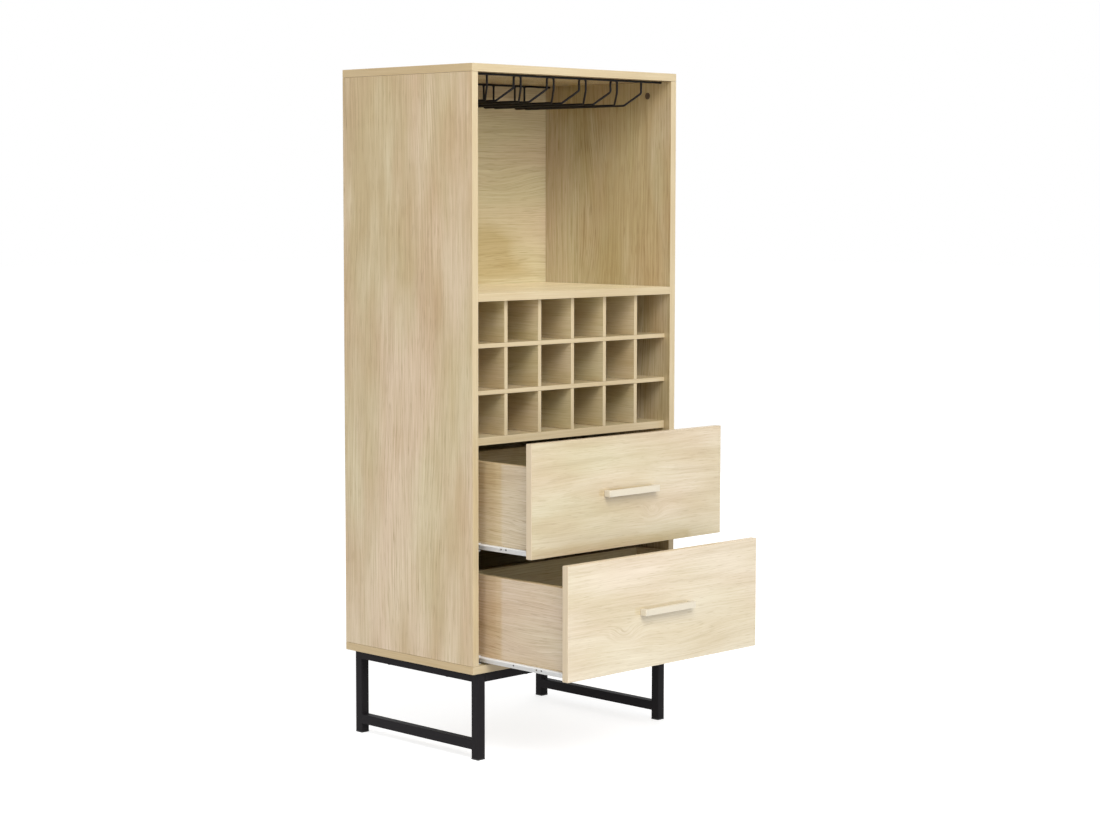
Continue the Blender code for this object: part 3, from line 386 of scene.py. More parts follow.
def oak(name, cross, grain, hearts, seed, tint, contrast=1.0, cloud=1.0, dash=1.0, broad=0.12,
        drift=(0.0, 0.0), lean=(0.0, 0.0), stains=(), gloss=1.58, rough=0.115, haze=0.0):
    """Makes oak laminate: fine streaks over a faint figure, pores, and broad clouds of tone.

    hearts are mounds that the grain lines bend round, and seed picks the noise. contrast and cloud
    scale how strong the streaks and the clouds are, dash scales how short the streaks are, and broad
    is the figure's share. drift and lean pale the board along and across the grain (the rate, and the
    place where it is nil); where the boards set them, they are painted light. stains are
    mounds that pale or darken it: stains of the tone, and on the right side also a painted shade.
    gloss is the surface's index of refraction, rough is its roughness, and haze is how much it pales
    when seen along its face.
    """
    material, tree, shader, place = new_material(name)
    across, along, through = axes_of(tree, place, cross, grain)
    layer = math(tree, "MULTIPLY_ADD", through, THROUGH_RATE, seed)

    def streaks(line, rates, detail=2.0, shift=0.0, limits=STREAK_LIMITS):
        level = math(tree, "ADD", layer, shift)
        shortened = (rates[0], rates[1] * dash)
        return spread(tree, stretched_noise(tree, line, along, shortened, level, detail), *limits)

    def broad_tone(rates, shift):
        return stretched_noise(tree, across, along, rates, math(tree, "ADD", layer, shift))

    wander = stretched_noise(tree, across, along, WARP_RATES, layer)
    bent = math(tree, "MULTIPLY_ADD", math(tree, "SUBTRACT", wander, 0.5), 2 * WARP_REACH, across)
    line = swollen(tree, bent, bent, along, hearts)
    nearly = math(tree, "MULTIPLY_ADD", math(tree, "SUBTRACT", line, bent), STREAK_FOLLOW, bent)
    fine = streaks(nearly, FINE_RATES, shift=FINE_LAYER)
    pore = streaks(nearly, PORE_RATES, detail=1.0, limits=PORE_LIMITS)
    clouds = broad_tone(PATCH_RATES, PATCH_LAYER)
    # drift and lean, where a board sets them, add painted light to the clouds of tone; stains adds stains and
    # painted shade
    for place_on, (rate, middle) in ((along, drift), (across, lean)):
        clouds = math(tree, "MULTIPLY_ADD", math(tree, "SUBTRACT", place_on, middle), rate, clouds)
    clouds = swollen(tree, clouds, bent, along, stains)
    patch = spread(tree, clouds, *PATCH_LIMITS)
    blush = spread(tree, broad_tone(BLUSH_RATES, BLUSH_LAYER), *BLUSH_LIMITS)
    figure = math(tree, "MULTIPLY", streaks(line, BROAD_RATES, detail=3.0), broad)
    for lines, share in ((streaks(nearly, STREAK_RATES), 1.0 - FINE_SHARE), (fine, FINE_SHARE)):
        figure = math(tree, "MULTIPLY_ADD", lines, share * (1.0 - broad), figure)
    stops = [tuple(t * (m + contrast * (c - m)) for c, m, t in zip(colour, OAK_MIDDLE, tint))
             for colour in (OAK_DARK, OAK_MIDDLE, OAK_LIGHT)]
    colour = ramp(tree, figure, *zip(FIGURE_PLACES, stops))
    for share, tones, weight in ((patch, PATCH_TONES, cloud), (blush, BLUSH_TONES, cloud),
                                 (pore, PORE_TONES, contrast)):
        first, second = (tuple(1.0 + weight * (tone - 1.0) for tone in pair) for pair in tones)
        colour = blended(tree, 1.0, colour, blended(tree, share, first, second), "MULTIPLY")
    tree.links.new(colour, shader.inputs["Base Color"])
    tree.links.new(spread(tree, fine, 0.0, 1.0, *(rough * share for share in OAK_ROUGH_SHARES)),
                   shader.inputs["Roughness"])
    shader.inputs["IOR"].default_value = gloss
    shader.inputs["Sheen Weight"].default_value = haze
    shader.inputs["Sheen Roughness"].default_value = HAZE_ROUGHNESS
    shader.inputs["Sheen Tint"].default_value = HAZE_TINT
    bump(tree, shader, math(tree, "SUBTRACT", fine, pore), GRAIN_RELIEF)
    return material


def plain_wood(name, cross, grain, seed, dark, light, across_rate, along_rate, roughness):
    """Makes straight-grained wood or edge banding."""
    material, tree, shader, place = new_material(name)
    across, along, through = axes_of(tree, place, cross, grain)
    lines = noise(tree, vector_of(tree, math(tree, "MULTIPLY", across, across_rate),
                                  math(tree, "MULTIPLY", along, along_rate),
                                  math(tree, "MULTIPLY_ADD", through, across_rate, seed)), 3.0, 0.6)
    drift = noise(tree, vector_of(tree, seed, math(tree, "MULTIPLY", along, DRIFT_RATE), seed), 1.0)
    value = math(tree, "ADD", math(tree, "MULTIPLY", spread(tree, lines, *STREAK_LIMITS), LINE_SHARE),
                 math(tree, "MULTIPLY", spread(tree, drift, *DRIFT_LIMITS), 1.0 - LINE_SHARE))
    tree.links.new(ramp(tree, value, *zip(PLAIN_PLACES, (dark, light))), shader.inputs["Base Color"])
    tree.links.new(spread(tree, lines, *STREAK_LIMITS, roughness + PLAIN_ROUGH_SWING,
                          roughness - PLAIN_ROUGH_SWING), shader.inputs["Roughness"])
    bump(tree, shader, lines, PLAIN_RELIEF)
    return material


def speckled(name, dark, light, rate, roughness, depth, specular=0.5):
    """Makes chipboard, fibreboard, powder coat or plastic: one colour broken up by fine grains."""
    material, tree, shader, place = new_material(name)
    scaled = tree.nodes.new("ShaderNodeVectorMath")
    scaled.operation = "SCALE"
    tree.links.new(place, scaled.inputs[0])
    scaled.inputs["Scale"].default_value = rate
    grains = noise(tree, scaled.outputs[0], 3.0, 0.65)
    tree.links.new(ramp(tree, grains, *zip(STREAK_LIMITS, (dark, light))), shader.inputs["Base Color"])
    tree.links.new(spread(tree, grains, *STREAK_LIMITS, roughness + SPECK_ROUGH_SWING,
                          roughness - SPECK_ROUGH_SWING), shader.inputs["Roughness"])
    shader.inputs["Specular IOR Level"].default_value = specular
    bump(tree, shader, grains, depth)
    return material


CORE = speckled("chipboard_core", CHIP_DARK, CHIP_LIGHT, rate=420.0, roughness=0.8, depth=0.0003)
FIBRE = speckled("fibreboard_back", FIBRE_DARK, FIBRE_LIGHT, rate=700.0, roughness=0.75, depth=0.0002)
BEECH = plain_wood("beech_dowel", Y, Z, 3.0, BEECH_DARK, BEECH_LIGHT, across_rate=700.0, along_rate=30.0,
                   roughness=0.6)
POWDER_COAT = speckled("black_powder_coat", (0.009, 0.008, 0.009), (0.017, 0.015, 0.017),
                       rate=2600.0, roughness=0.55, depth=0.00005, specular=0.10)
WIRE_COAT = speckled("black_wire_coat", (0.008, 0.007, 0.008), (0.015, 0.014, 0.015),
                     rate=2200.0, roughness=0.50, depth=0.00003, specular=0.12)
EPOXY = speckled("white_epoxy_steel", (0.78, 0.78, 0.77), (0.84, 0.84, 0.83),
                 rate=1500.0, roughness=0.30, depth=0.00003)
NYLON = speckled("white_nylon", (0.74, 0.73, 0.69), (0.80, 0.79, 0.75),
                 rate=700.0, roughness=0.42, depth=0.00003)
GLIDE_PLASTIC = speckled("black_glide_plastic", (0.012, 0.012, 0.012), (0.022, 0.022, 0.022),
                         rate=1800.0, roughness=0.55, depth=0.00005)
CREAM_PAINT = speckled("cream_handle_paint", (0.622, 0.560, 0.442), (0.670, 0.608, 0.489),
                       rate=900.0, roughness=0.34, depth=0.00003)
SCREW_ZINC = speckled("zinc_screw", (0.30, 0.30, 0.31), (0.46, 0.46, 0.47),
                      rate=1600.0, roughness=0.35, depth=0.00003)
SCREW_ZINC.node_tree.nodes["Principled BSDF"].inputs["Metallic"].default_value = 1.0
# Painted shade: the angles' sunk screws are darker than zinc, so that they show as dark dots in their holes.
SCREW_PAINTED_SHADE = speckled("dark_screw", (0.050, 0.050, 0.052), (0.095, 0.095, 0.098),
                      rate=1600.0, roughness=0.45, depth=0.00003)
CAM_PLASTIC = speckled("brown_cam", (0.070, 0.045, 0.026), (0.115, 0.078, 0.046),
                       rate=1400.0, roughness=0.45, depth=0.00005)


def banding(grain, pale=False):
    """Returns edge banding whose lines run along the given axis; the drawer fronts' is paler."""
    name = ("front" if pale else "edge") + "_banding_" + "xyz"[grain]
    if name not in bpy.data.materials:
        cross = Z if grain == X else X
        across_ends = (END_BAND_DARK, END_BAND_LIGHT) if grain == Y else (BAND_DARK, BAND_LIGHT)
        tones = (FRONT_BAND_DARK, FRONT_BAND_LIGHT) if pale else across_ends
        plain_wood(name, cross, grain, 5.0 + grain, *tones, across_rate=420.0, along_rate=7.0, roughness=0.34)
    return bpy.data.materials[name]


def cad_mesh(node):
    """Returns a node's mesh with its split corners joined and its flat faces whole."""
    bm = bmesh.new()
    bm.from_mesh(frame["nodes"][node].data)
    bmesh.ops.remove_doubles(bm, verts=bm.verts, dist=ON_PLANE / 4)
    bmesh.ops.dissolve_limit(bm, angle_limit=FLAT_ANGLE, verts=bm.verts, edges=bm.edges)
    return bm


def main_planes(bm):
    """Returns, for each axis, the two outer planes on which most of the mesh's area lies."""
    planes = []
    for axis in (X, Y, Z):
        areas = {-1: {}, 1: {}}
        for face in bm.faces:
            if abs(face.normal[axis]) > SQUARE:
                side = 1 if face.normal[axis] > 0 else -1
                place = round(face.calc_center_median()[axis], 5)
                areas[side][place] = areas[side].get(place, 0.0) + face.calc_area()
        planes.append(tuple(max(areas[side], key=areas[side].get) for side in (-1, 1)))
    return planes


def lies_on(vertex, axis, place):
    """Says whether a vertex lies on the plane at this place of an axis."""
    return abs(vertex.co[axis] - place) < ON_PLANE


def board_edges(bm, planes):
    """Returns the long edges where two of a board's outer planes meet."""
    found = []
    for edge in bm.edges:
        if edge.calc_length() < LONG_EDGE:
            continue
        met = {(axis, side) for axis in (X, Y, Z) for side in (0, 1)
               if all(lies_on(v, axis, planes[axis][side]) for v in edge.verts)}
        if len(met) == 2:
            found.append(edge)
    return found


def shown_piece(bm, name, node, materials):
    """Turns a mesh into a shown piece that rides where its node does."""
    mesh = bpy.data.meshes.new(name)
    bm.to_mesh(mesh)
    bm.free()
    for material in materials:
        mesh.materials.append(material)
    mesh.shade_smooth()
    mesh.set_sharp_from_angle(angle=SMOOTH_ANGLE)
    item = bpy.data.objects.new(name, mesh)
    bpy.context.scene.collection.objects.link(item)
    weighted = item.modifiers.new("weighted_normals", "WEIGHTED_NORMAL")
    weighted.keep_sharp = True
    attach(item, body_of(node))
    return item


def finish_piece(bm, name, node, materials):
    """Turns a mesh into a shown piece that rides where its node does and replaces it."""
    item = shown_piece(bm, name, node, materials)
    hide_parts(node)
    return item


def body_of(node):
    """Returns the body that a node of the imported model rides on."""
    return frame["nodes"][node]["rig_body"]


def board_slot(face, planes, thin):
    """Returns which of its board's materials a face takes, in the order that dress_board gives them."""
    centre = face.calc_center_median()
    outside = [axis for axis in (X, Y, Z)
               if not planes[axis][0] - ON_PLANE < centre[axis] < planes[axis][1] + ON_PLANE]
    on = [(axis, side) for axis in (X, Y, Z) for side in (0, 1)
          if abs(centre[axis] - planes[axis][side]) < ON_PLANE and abs(face.normal[axis]) > SQUARE]
    near_edge = sum(min(abs(centre[axis] - place) for place in planes[axis]) < EDGE_ROUND
                    for axis in (X, Y, Z))
    if outside:
        return 7 if outside == [thin] else 6
    if on and on[0][0] == thin:
        return on[0][1]
    if on or near_edge >= 2:
        axis = on[0][0] if on else max((a for a in (X, Y, Z) if a != thin), key=lambda a: abs(face.normal[a]))
        return 2 + next(a for a in (X, Y, Z) if a not in (thin, axis))
    return 5


def dress_board(node, face_material, reverse=None, edge=None, offcut=CORE, pale=False, cutters=None,
                to_front=False):
    """Rounds a board's edges and gives its faces, edges, cut-outs and dowels their materials.

    reverse is the material of its upper, rear or right face where that one differs, and pale its front
    banding. cutters are bored out of it, and to_front closes the fine gap between its front end and its
    neighbour.
    """
    bm = carved(cad_mesh(node), cutters) if cutters else cad_mesh(node)
    planes = main_planes(bm)
    if to_front:
        low = planes[Y][0]
        for vertex in bm.verts:
            if lies_on(vertex, Y, low):
                vertex.co.y -= FIT - ON_PLANE
        planes[Y] = (low - FIT + ON_PLANE, planes[Y][1])
    sizes = [high - low for low, high in planes]
    thin = sizes.index(min(sizes))
    bmesh.ops.bevel(bm, geom=board_edges(bm, planes), offset=EDGE_ROUND, segments=2, profile=0.5,
                    affect="EDGES", clamp_overlap=False)
    bands = [edge or banding(axis, pale) for axis in (X, Y, Z)]
    for face in bm.faces:
        face.material_index = board_slot(face, planes, thin)
    return finish_piece(bm, node + "_board", node,
                        [face_material, reverse or face_material, *bands, CORE, BEECH, offcut])


def skin(bm, loops, closed=False, capped=True):
    """Joins loops of vertices into one surface, closed into a ring or capped at its ends."""
    pairs = list(zip(loops, loops[1:]))
    if closed:
        pairs.append((loops[-1], loops[0]))
    elif capped:
        bm.faces.new(loops[0])
        bm.faces.new(loops[-1])
    for first, second in pairs:
        for step in range(len(first)):
            following = (step + 1) % len(first)
            bm.faces.new((first[step], first[following], second[following], second[step]))


def ring(bm, centre, axis, radius, sides):
    """Adds a circle of vertices round an axis."""
    across = axis.orthogonal().normalized()
    upright = axis.cross(across)
    angles = [tau * (step + 0.5) / sides for step in range(sides)]
    return [bm.verts.new(centre + (across * cos(angle) + upright * sin(angle)) * radius) for angle in angles]


def turned(bm, start, axis, rings, sides=24, hollow=False):
    """Adds a turned body from (distance along, radius) rings."""
    start, axis = Vector(start), Vector(axis)
    skin(bm, [ring(bm, start + axis * along, axis, radius, sides) for along, radius in rings], closed=hollow)


def rounded(points, radii, steps=4):
    """Rounds the corners of a line of points, each by its own radius; a radius of 0 keeps the corner."""
    points = [Vector((*point, 0.0)[:3]) for point in points]
    line = []
    for index, (corner, radius) in enumerate(zip(points, radii)):
        if not radius:
            line.append(corner)
            continue
        back = (points[index - 1] - corner).normalized()
        ahead = (points[(index + 1) % len(points)] - corner).normalized()
        half = back.angle(ahead) / 2
        centre = corner + (back + ahead).normalized() * radius / sin(half)
        first = corner + back * radius / tan(half) - centre
        last = corner + ahead * radius / tan(half) - centre
        line += [centre + first.slerp(last, step / steps) * radius for step in range(steps + 1)]
    return line


def extruded(bm, outline, low, high, place):
    """Adds a prism: place(u, v, w) puts an outline point (u, v) at height w."""
    skin(bm, [[bm.verts.new(place(point.x, point.y, w)) for point in outline] for w in (low, high)])


def swept(bm, points, radius, sides=14):
    """Adds a round wire along a line of points."""
    loops, across = [], None
    for index, point in enumerate(points):
        before = point - points[index - 1] if index else points[1] - point
        after = points[index + 1] - point if index + 1 < len(points) else before
        tangent = (before.normalized() + after.normalized()).normalized()
        across = across or tangent.orthogonal()
        across = (across - tangent * across.dot(tangent)).normalized()
        upright = tangent.cross(across)
        angles = [tau * step / sides for step in range(sides)]
        loops.append([bm.verts.new(point + (across * cos(angle) + upright * sin(angle)) * radius)
                      for angle in angles])
    skin(bm, loops)


def weld(bm, centre, size):
    """Adds a bead of weld."""
    matrix = Matrix.Translation(centre) @ Matrix.Diagonal((*size, 1.0))
    bmesh.ops.create_icosphere(bm, subdivisions=3, radius=1.0, matrix=matrix)


def head(bm, seat, out, sizes, sides=32):
    """Adds a round head with a cross recess, standing on seat and facing out."""
    radius, height, half_length, half_width, depth = sizes
    seat, out = Vector(seat), Vector(out)
    soft = height * HEAD_SOFT_SHARE
    broken = soft * HEAD_BREAK_SHARE
    loops = [ring(bm, seat + out * up, out, wide, sides)
             for up, wide in ((0.0, radius), (height - soft, radius), (height - broken, radius - broken),
                              (height, radius - soft))]
    skin(bm, loops, capped=False)
    bm.faces.new(loops[0])
    across = out.orthogonal().normalized()
    upright = out.cross(across)
    quarter = [(half_length, -half_width), (half_length, half_width), (half_width, half_width)]
    corners = [(u * cos(turn) - v * sin(turn), u * sin(turn) + v * cos(turn))
               for turn in (0.0, pi / 2, pi, 3 * pi / 2) for u, v in quarter]
    brim, floor = ([bm.verts.new(seat + out * up + across * u + upright * v) for u, v in corners]
                   for up in (height, height - depth))
    skin(bm, [brim, floor], capped=False)
    bm.faces.new(floor)
    edges = [bm.edges.get((loop[step], loop[(step + 1) % len(loop)]))
             for loop in (loops[-1], brim) for step in range(len(loop))]
    bmesh.ops.triangle_fill(bm, edges=edges, use_beauty=True)


def carved(bm, cutters):
    """Returns the mesh with the cutters taken out of it."""
    items = []
    for source in (bm, cutters):
        bmesh.ops.recalc_face_normals(source, faces=source.faces)
        mesh = bpy.data.meshes.new("carving")
        source.to_mesh(mesh)
        source.free()
        items.append(bpy.data.objects.new("carving", mesh))
        bpy.context.scene.collection.objects.link(items[-1])
    boolean = items[0].modifiers.new("carving", "BOOLEAN")
    boolean.operation = "DIFFERENCE"
    boolean.solver = "EXACT"
    boolean.object = items[1]
    result = bmesh.new()
    result.from_object(items[0], bpy.context.evaluated_depsgraph_get())
    for item in items:
        mesh = item.data
        bpy.data.objects.remove(item)
        bpy.data.meshes.remove(mesh)
    return result


def without(bm, unwanted):
    """Removes the faces whose centre is unwanted, and closes the holes they leave."""
    faces = [face for face in bm.faces if unwanted(face.calc_center_median())]
    bmesh.ops.delete(bm, geom=faces, context="FACES")
    bmesh.ops.holes_fill(bm, edges=[edge for edge in bm.edges if edge.is_boundary], sides=0)
    return bm


def added_piece(bm, name, node, material):
    """Turns a mesh into a shown piece that rides where a node does but stands for none."""
    bmesh.ops.recalc_face_normals(bm, faces=bm.faces)
    return shown_piece(bm, name, node, [material])


def on_side(mounds):
    """Turns the side panels' mounds, placed by shares of the depth, into lengths."""
    return [(CARCASS_FRONT + share * CARCASS_DEPTH, *others) for share, *others in mounds]


def moved(mound, across, along):
    """Moves a mound's middle."""
    return (across + mound[0], along + mound[1], *mound[2:])


def dress_carcass():
    """Dresses the carcass, its shelves and the grid of bottle cells."""
    left = oak("oak_left_side", Y, Z, on_side(LEFT_HEARTS), **LEFT_LOOK)
    dress_board("left_side_panel", left, offcut=banding(Y))
    right = oak("oak_right_side", Y, Z, on_side(RIGHT_HEARTS), stains=on_side(RIGHT_STAINS_AND_SHADE), **RIGHT_LOOK)
    dress_board("right_side_panel", right, offcut=banding(Y))
    for number, node in enumerate(("top_panel", "bottom_panel", "compartment_shelf", "rack_base_shelf",
                                   "rack_board_1", "rack_board_2")):
        hearts = on_side([moved(BOARD_HEART, *(step * number for step in BOARD_HEART_STEP))])
        look = {"top_panel": TOP_LOOK, "compartment_shelf": SHELF_LOOK}.get(node, INSIDE_LOOK)
        dress_board(node, oak("oak_" + node, Y, X, hearts, BOARD_SEED + BOARD_SEED_STEP * number, **look))
    for number in range(1, 6):
        node = f"rack_divider_{number}"
        hearts = [moved(DIVIDER_HEART, *(step * number for step in DIVIDER_HEART_STEP))]
        seed = DIVIDER_SEED + DIVIDER_SEED_STEP * number
        dress_board(node, oak("oak_" + node, Z, Y, hearts, seed, **GRID_LOOK))
    dress_board("back_panel", oak("oak_back_panel", Z, X, BACK_HEARTS, stains=BACK_STAINS, **BACK_LOOK),
                reverse=FIBRE, edge=FIBRE)


def dress_drawers():
    """Dresses both drawers' boards and handles."""
    for number, (label, hearts) in enumerate(FRONT_HEARTS.items()):
        seed = DRAWER_SEED + DRAWER_SEED_STEP * number
        drawer = f"{label}_drawer"
        front = oak(drawer + "_front_oak", Z, X, hearts, **FRONT_LOOKS[label], **FRONT_LOOK)
        dress_board(drawer + "_front", front, pale=True)
        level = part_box(drawer + "_front")[0].z
        for side_number, side in enumerate(("left_side", "right_side")):
            over, along = (step * side_number for step in BOX_HEART_STEP)
            side_oak = oak(f"{drawer}_{side}_oak", Z, Y, [moved(BOX_HEART, level + over, along)],
                           seed + BOX_SEED_STEP + side_number, **BOX_LOOK)
            dress_board(f"{drawer}_{side}", side_oak, cutters=spare_hole(drawer, side), to_front=True)
        back_oak = oak(drawer + "_back_oak", Z, X, [moved(DRAWER_BACK_HEART, level, 0.0)],
                       seed + DRAWER_BACK_SEED_STEP, **DRAWER_LOOK)
        dress_board(drawer + "_back", back_oak)
        base_oak = oak(drawer + "_base_oak", Y, X, [BASE_HEART], seed + DRAWER_BASE_SEED_STEP, **DRAWER_LOOK)
        dress_board(drawer + "_base", FIBRE, reverse=base_oak, edge=FIBRE)
        dress_handle(drawer)


def spare_hole(drawer, side_name):
    """Returns the cutter for the empty pilot hole behind the spare hole of a drawer's angle."""
    side = SIDES[side_name.split("_")[0]]
    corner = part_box(drawer + "_front")[0]
    bm = bmesh.new()
    mouth = (side * (BOX_HALF + SHEET), corner.y + ANGLE_SPARE_Y, corner.z + ANGLE_SCREW_RISE)
    turned(bm, mouth, (-side, 0, 0), ((0, PILOT_RADIUS), (PILOT_DEPTH, PILOT_RADIUS)))
    return bm


def rounded_edges(bm, radius):
    """Rounds a piece's sharp edges."""
    sharp = [edge for edge in bm.edges
             if edge.calc_face_angle(0) > ROUNDED_ANGLE and edge.calc_length() > 3 * radius]
    bmesh.ops.bevel(bm, geom=sharp, offset=radius, segments=2, profile=0.5, affect="EDGES",
                    clamp_overlap=True)
    return bm


def dress_handle(drawer):
    """Makes the painted bow and the two screws that hold it from inside the drawer."""
    node = drawer + "_handle"
    front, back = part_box(drawer + "_front")[0].y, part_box(drawer + "_front")[1].y
    bow = without(cad_mesh(node), lambda place: place.y > front - FIT / 2)
    finish_piece(rounded_edges(bow, HANDLE_ROUND), node + "_bow", node, [CREAM_PAINT])
    low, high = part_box(node)
    reach = (high.x - low.x) / 2 - HANDLE_SCREW_IN
    for side_name, side in SIDES.items():
        bm = bmesh.new()
        seat = (side * reach, back + FIT, (low.z + high.z) / 2)
        head(bm, seat, (0, 1, 0), HANDLE_HEAD)
        added_piece(bm, f"{node}_{side_name}_screw", node, SCREW_ZINC)


def outward(side, level):
    """Returns the function that places a point of a runner's outline (out from the strip, up) at each y."""
    return lambda out, up, y: (side * (RUN_FACE - out), y, level + up)


def axle(bm, side, wall, tip, y, z):
    """Adds a riveted axle from a runner's wall to its head beyond tip."""
    inwards = 1 if tip > wall else -1
    shank = abs(tip - wall)
    rings = ((-SHEET / 2, AXLE_RADIUS), (shank, AXLE_RADIUS),
             *((shank + rise * AXLE_HEAD, wide * AXLE_HEAD_RADIUS) for rise, wide in AXLE_HEAD_SHARES))
    turned(bm, (side * (RUN_FACE - wall), y, z), (-side * inwards, 0, 0), rings)


def dress_channel(label, side_name):
    """Makes the channel on a cabinet side, its axle and its three screws."""
    side, level = SIDES[side_name], LEVELS[label]
    node = f"{label}_{side_name}_cabinet_runner"
    low, high = CHANNEL_LOW, CHANNEL_TOP
    points = ((FIT, low), (CHANNEL_EDGE, low), (CHANNEL_EDGE, low + SHEET), (CHANNEL_WALL, low + SHEET),
              (CHANNEL_WALL, high - SHEET), (CHANNEL_EDGE, high - SHEET), (CHANNEL_EDGE, high), (FIT, high))
    radii = (BEND_OUTER, EDGE_SOFT, EDGE_SOFT, BEND_INNER, BEND_INNER, EDGE_SOFT, EDGE_SOFT, BEND_OUTER)
    bm = bmesh.new()
    extruded(bm, rounded(points, radii), *CHANNEL_Y, outward(side, level))
    middle = level + ROLLER_RISE
    axle(bm, side, CHANNEL_WALL, ROLLER_FAR + FIT, FRONT_ROLLER_Y, middle)
    bmesh.ops.recalc_face_normals(bm, faces=bm.faces)
    finish_piece(bm, f"{label}_{side_name}_channel", node, [EPOXY])
    bm = bmesh.new()
    for share in CHANNEL_SCREW_SHARES:
        y = CHANNEL_Y[0] + share * (CHANNEL_Y[1] - CHANNEL_Y[0])
        head(bm, (side * (RUN_FACE - CHANNEL_WALL), y, middle), (-side, 0, 0), RUNNER_HEAD)
    added_piece(bm, f"{label}_{side_name}_channel_screws", node, SCREW_ZINC)


def dress_angle(label, side_name):
    """Makes the angle under a drawer side, its holes, its axle and its two sunk screws."""
    side = SIDES[side_name]
    node = f"{label}_drawer_{side_name}_runner"
    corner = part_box(f"{label}_drawer_front")[0]
    low = ANGLE_LOW
    points = ((ANGLE_WALL, low), (ANGLE_FOOT, low), (ANGLE_FOOT, low + SHEET), (ANGLE_INNER, low + SHEET),
              (ANGLE_INNER, LIP_TOP), (LIP_EDGE, LIP_TOP), (LIP_EDGE, LIP_TURN), (LIP_EDGE + SHEET, LIP_TURN),
              (LIP_EDGE + SHEET, LIP_UNDER), (ANGLE_WALL, LIP_UNDER))
    radii = (BEND_OUTER, EDGE_SOFT, EDGE_SOFT, BEND_INNER, BEND_OUTER, BEND_OUTER, EDGE_SOFT, EDGE_SOFT,
             BEND_INNER, BEND_INNER)
    bm, holes = bmesh.new(), bmesh.new()
    ends = [corner.y + y for y in ANGLE_Y]
    extruded(bm, rounded(points, radii), *ends, outward(side, corner.z))
    outer = side * (RUN_FACE - ANGLE_WALL)
    for y in (*ANGLE_SCREW_YS, ANGLE_SPARE_Y):
        turned(holes, (outer + side * SHEET, corner.y + y, corner.z + ANGLE_SCREW_RISE), (-side, 0, 0),
               ((0, ANGLE_HOLE), (3 * SHEET, ANGLE_HOLE)))
    bm = carved(bm, holes)
    axle(bm, side, ANGLE_WALL, ROLLER_NEAR - FIT, corner.y + REAR_ROLLER_Y, corner.z + ROLLER_RISE)
    bmesh.ops.recalc_face_normals(bm, faces=bm.faces)
    finish_piece(bm, f"{label}_drawer_{side_name}_angle", node, [EPOXY])
    bm = bmesh.new()
    for y in ANGLE_SCREW_YS:
        seat = outer - side * (ANGLE_SCREW_SINK + ANGLE_HEAD[1])
        head(bm, (seat, corner.y + y, corner.z + ANGLE_SCREW_RISE), (side, 0, 0), ANGLE_HEAD)
    added_piece(bm, f"{label}_drawer_{side_name}_angle_screws", node, SCREW_PAINTED_SHADE)


def dress_roller(node, side_name, y, z):
    """Makes a nylon roller with rounded rims and a shallow groove in each face."""
    side = SIDES[side_name]
    width, bore = ROLLER_FAR - ROLLER_NEAR, AXLE_RADIUS + FIT
    half = [(0.0, bore), *ROLLER_FACE, *((along, ROLLER_RADIUS - sunk) for along, sunk in ROLLER_RIM)]
    rings = half + [(width - along, radius) for along, radius in reversed(half)]
    bm = bmesh.new()
    turned(bm, (side * (RUN_FACE - ROLLER_NEAR), y, z), (-side, 0, 0), rings, sides=48, hollow=True)
    bmesh.ops.recalc_face_normals(bm, faces=bm.faces)
    finish_piece(bm, node + "_wheel", node, [NYLON])


def dress_runners():
    """Makes the four channels and angles, and a roller on each."""
    for label, level in LEVELS.items():
        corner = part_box(f"{label}_drawer_front")[0]
        front = (FRONT_ROLLER_Y, level + ROLLER_RISE)
        rear = (corner.y + REAR_ROLLER_Y, corner.z + ROLLER_RISE)
        for side_name in SIDES:
            dress_channel(label, side_name)
            dress_angle(label, side_name)
            dress_roller(f"{label}_{side_name}_cabinet_roller", side_name, *front)
            dress_roller(f"{label}_drawer_{side_name}_roller", side_name, *rear)


def dress_rack():
    """Makes the stemware rack's cross wires and hangers, with their welds."""
    for node, y in (("glass_rack_front_wire", FRONT_WIRE_Y), ("glass_rack_rear_wire", REAR_WIRE_Y)):
        bm = bmesh.new()
        reach = INNER + WIRE_SOCKET
        line = [Vector((share * reach, y, CROSS_WIRE_Z)) for share in (-1.0, 0.0, 1.0)]
        swept(bm, line, WIRE_RADIUS, sides=16)
        bmesh.ops.recalc_face_normals(bm, faces=bm.faces)
        finish_piece(bm, node + "_coated", node, [WIRE_COAT])
    for number in range(1, 7):
        node = f"glass_hanger_{number}"
        centre = -INNER + (number - 0.5) * HANGER_PITCH
        wings = {1: (1,), 6: (-1,)}.get(number, (-1, 1))
        top = CROSS_WIRE_Z if len(wings) == 2 else CROSS_WIRE_Z + WIRE_RADIUS
        bm, route = bmesh.new(), []
        for wing in wings:
            neck, foot = centre + wing * HANGER_TOP_HALF, centre + wing * HANGER_RAIL_HALF
            half = [(neck, HANGER_Y, top), (neck, HANGER_Y, HANGER_KNEE_Z),
                    (foot, HANGER_Y + HANGER_SLOPE_RUN, HANGER_RAIL_Z), (foot, REAR_WIRE_Y, HANGER_RAIL_Z),
                    (foot, REAR_WIRE_Y, CROSS_WIRE_Z - WIRE_RADIUS - FIT)]
            route = half[::-1] if wing < 0 < len(wings) - 1 else route + half
            weld(bm, (neck, (HANGER_Y + FRONT_WIRE_Y) / 2, CROSS_WIRE_Z - WELD_DROP), WELD_SIZE)
            weld(bm, (foot, REAR_WIRE_Y, CROSS_WIRE_Z - WIRE_RADIUS - FIT / 2), END_WELD_SIZE)
        radii = [0] + [HANGER_BEND] * (len(route) - 2) + [0]
        swept(bm, rounded(route, radii, steps=6), WIRE_RADIUS)
        bmesh.ops.recalc_face_normals(bm, faces=bm.faces)
        finish_piece(bm, node + "_coated", node, [WIRE_COAT])


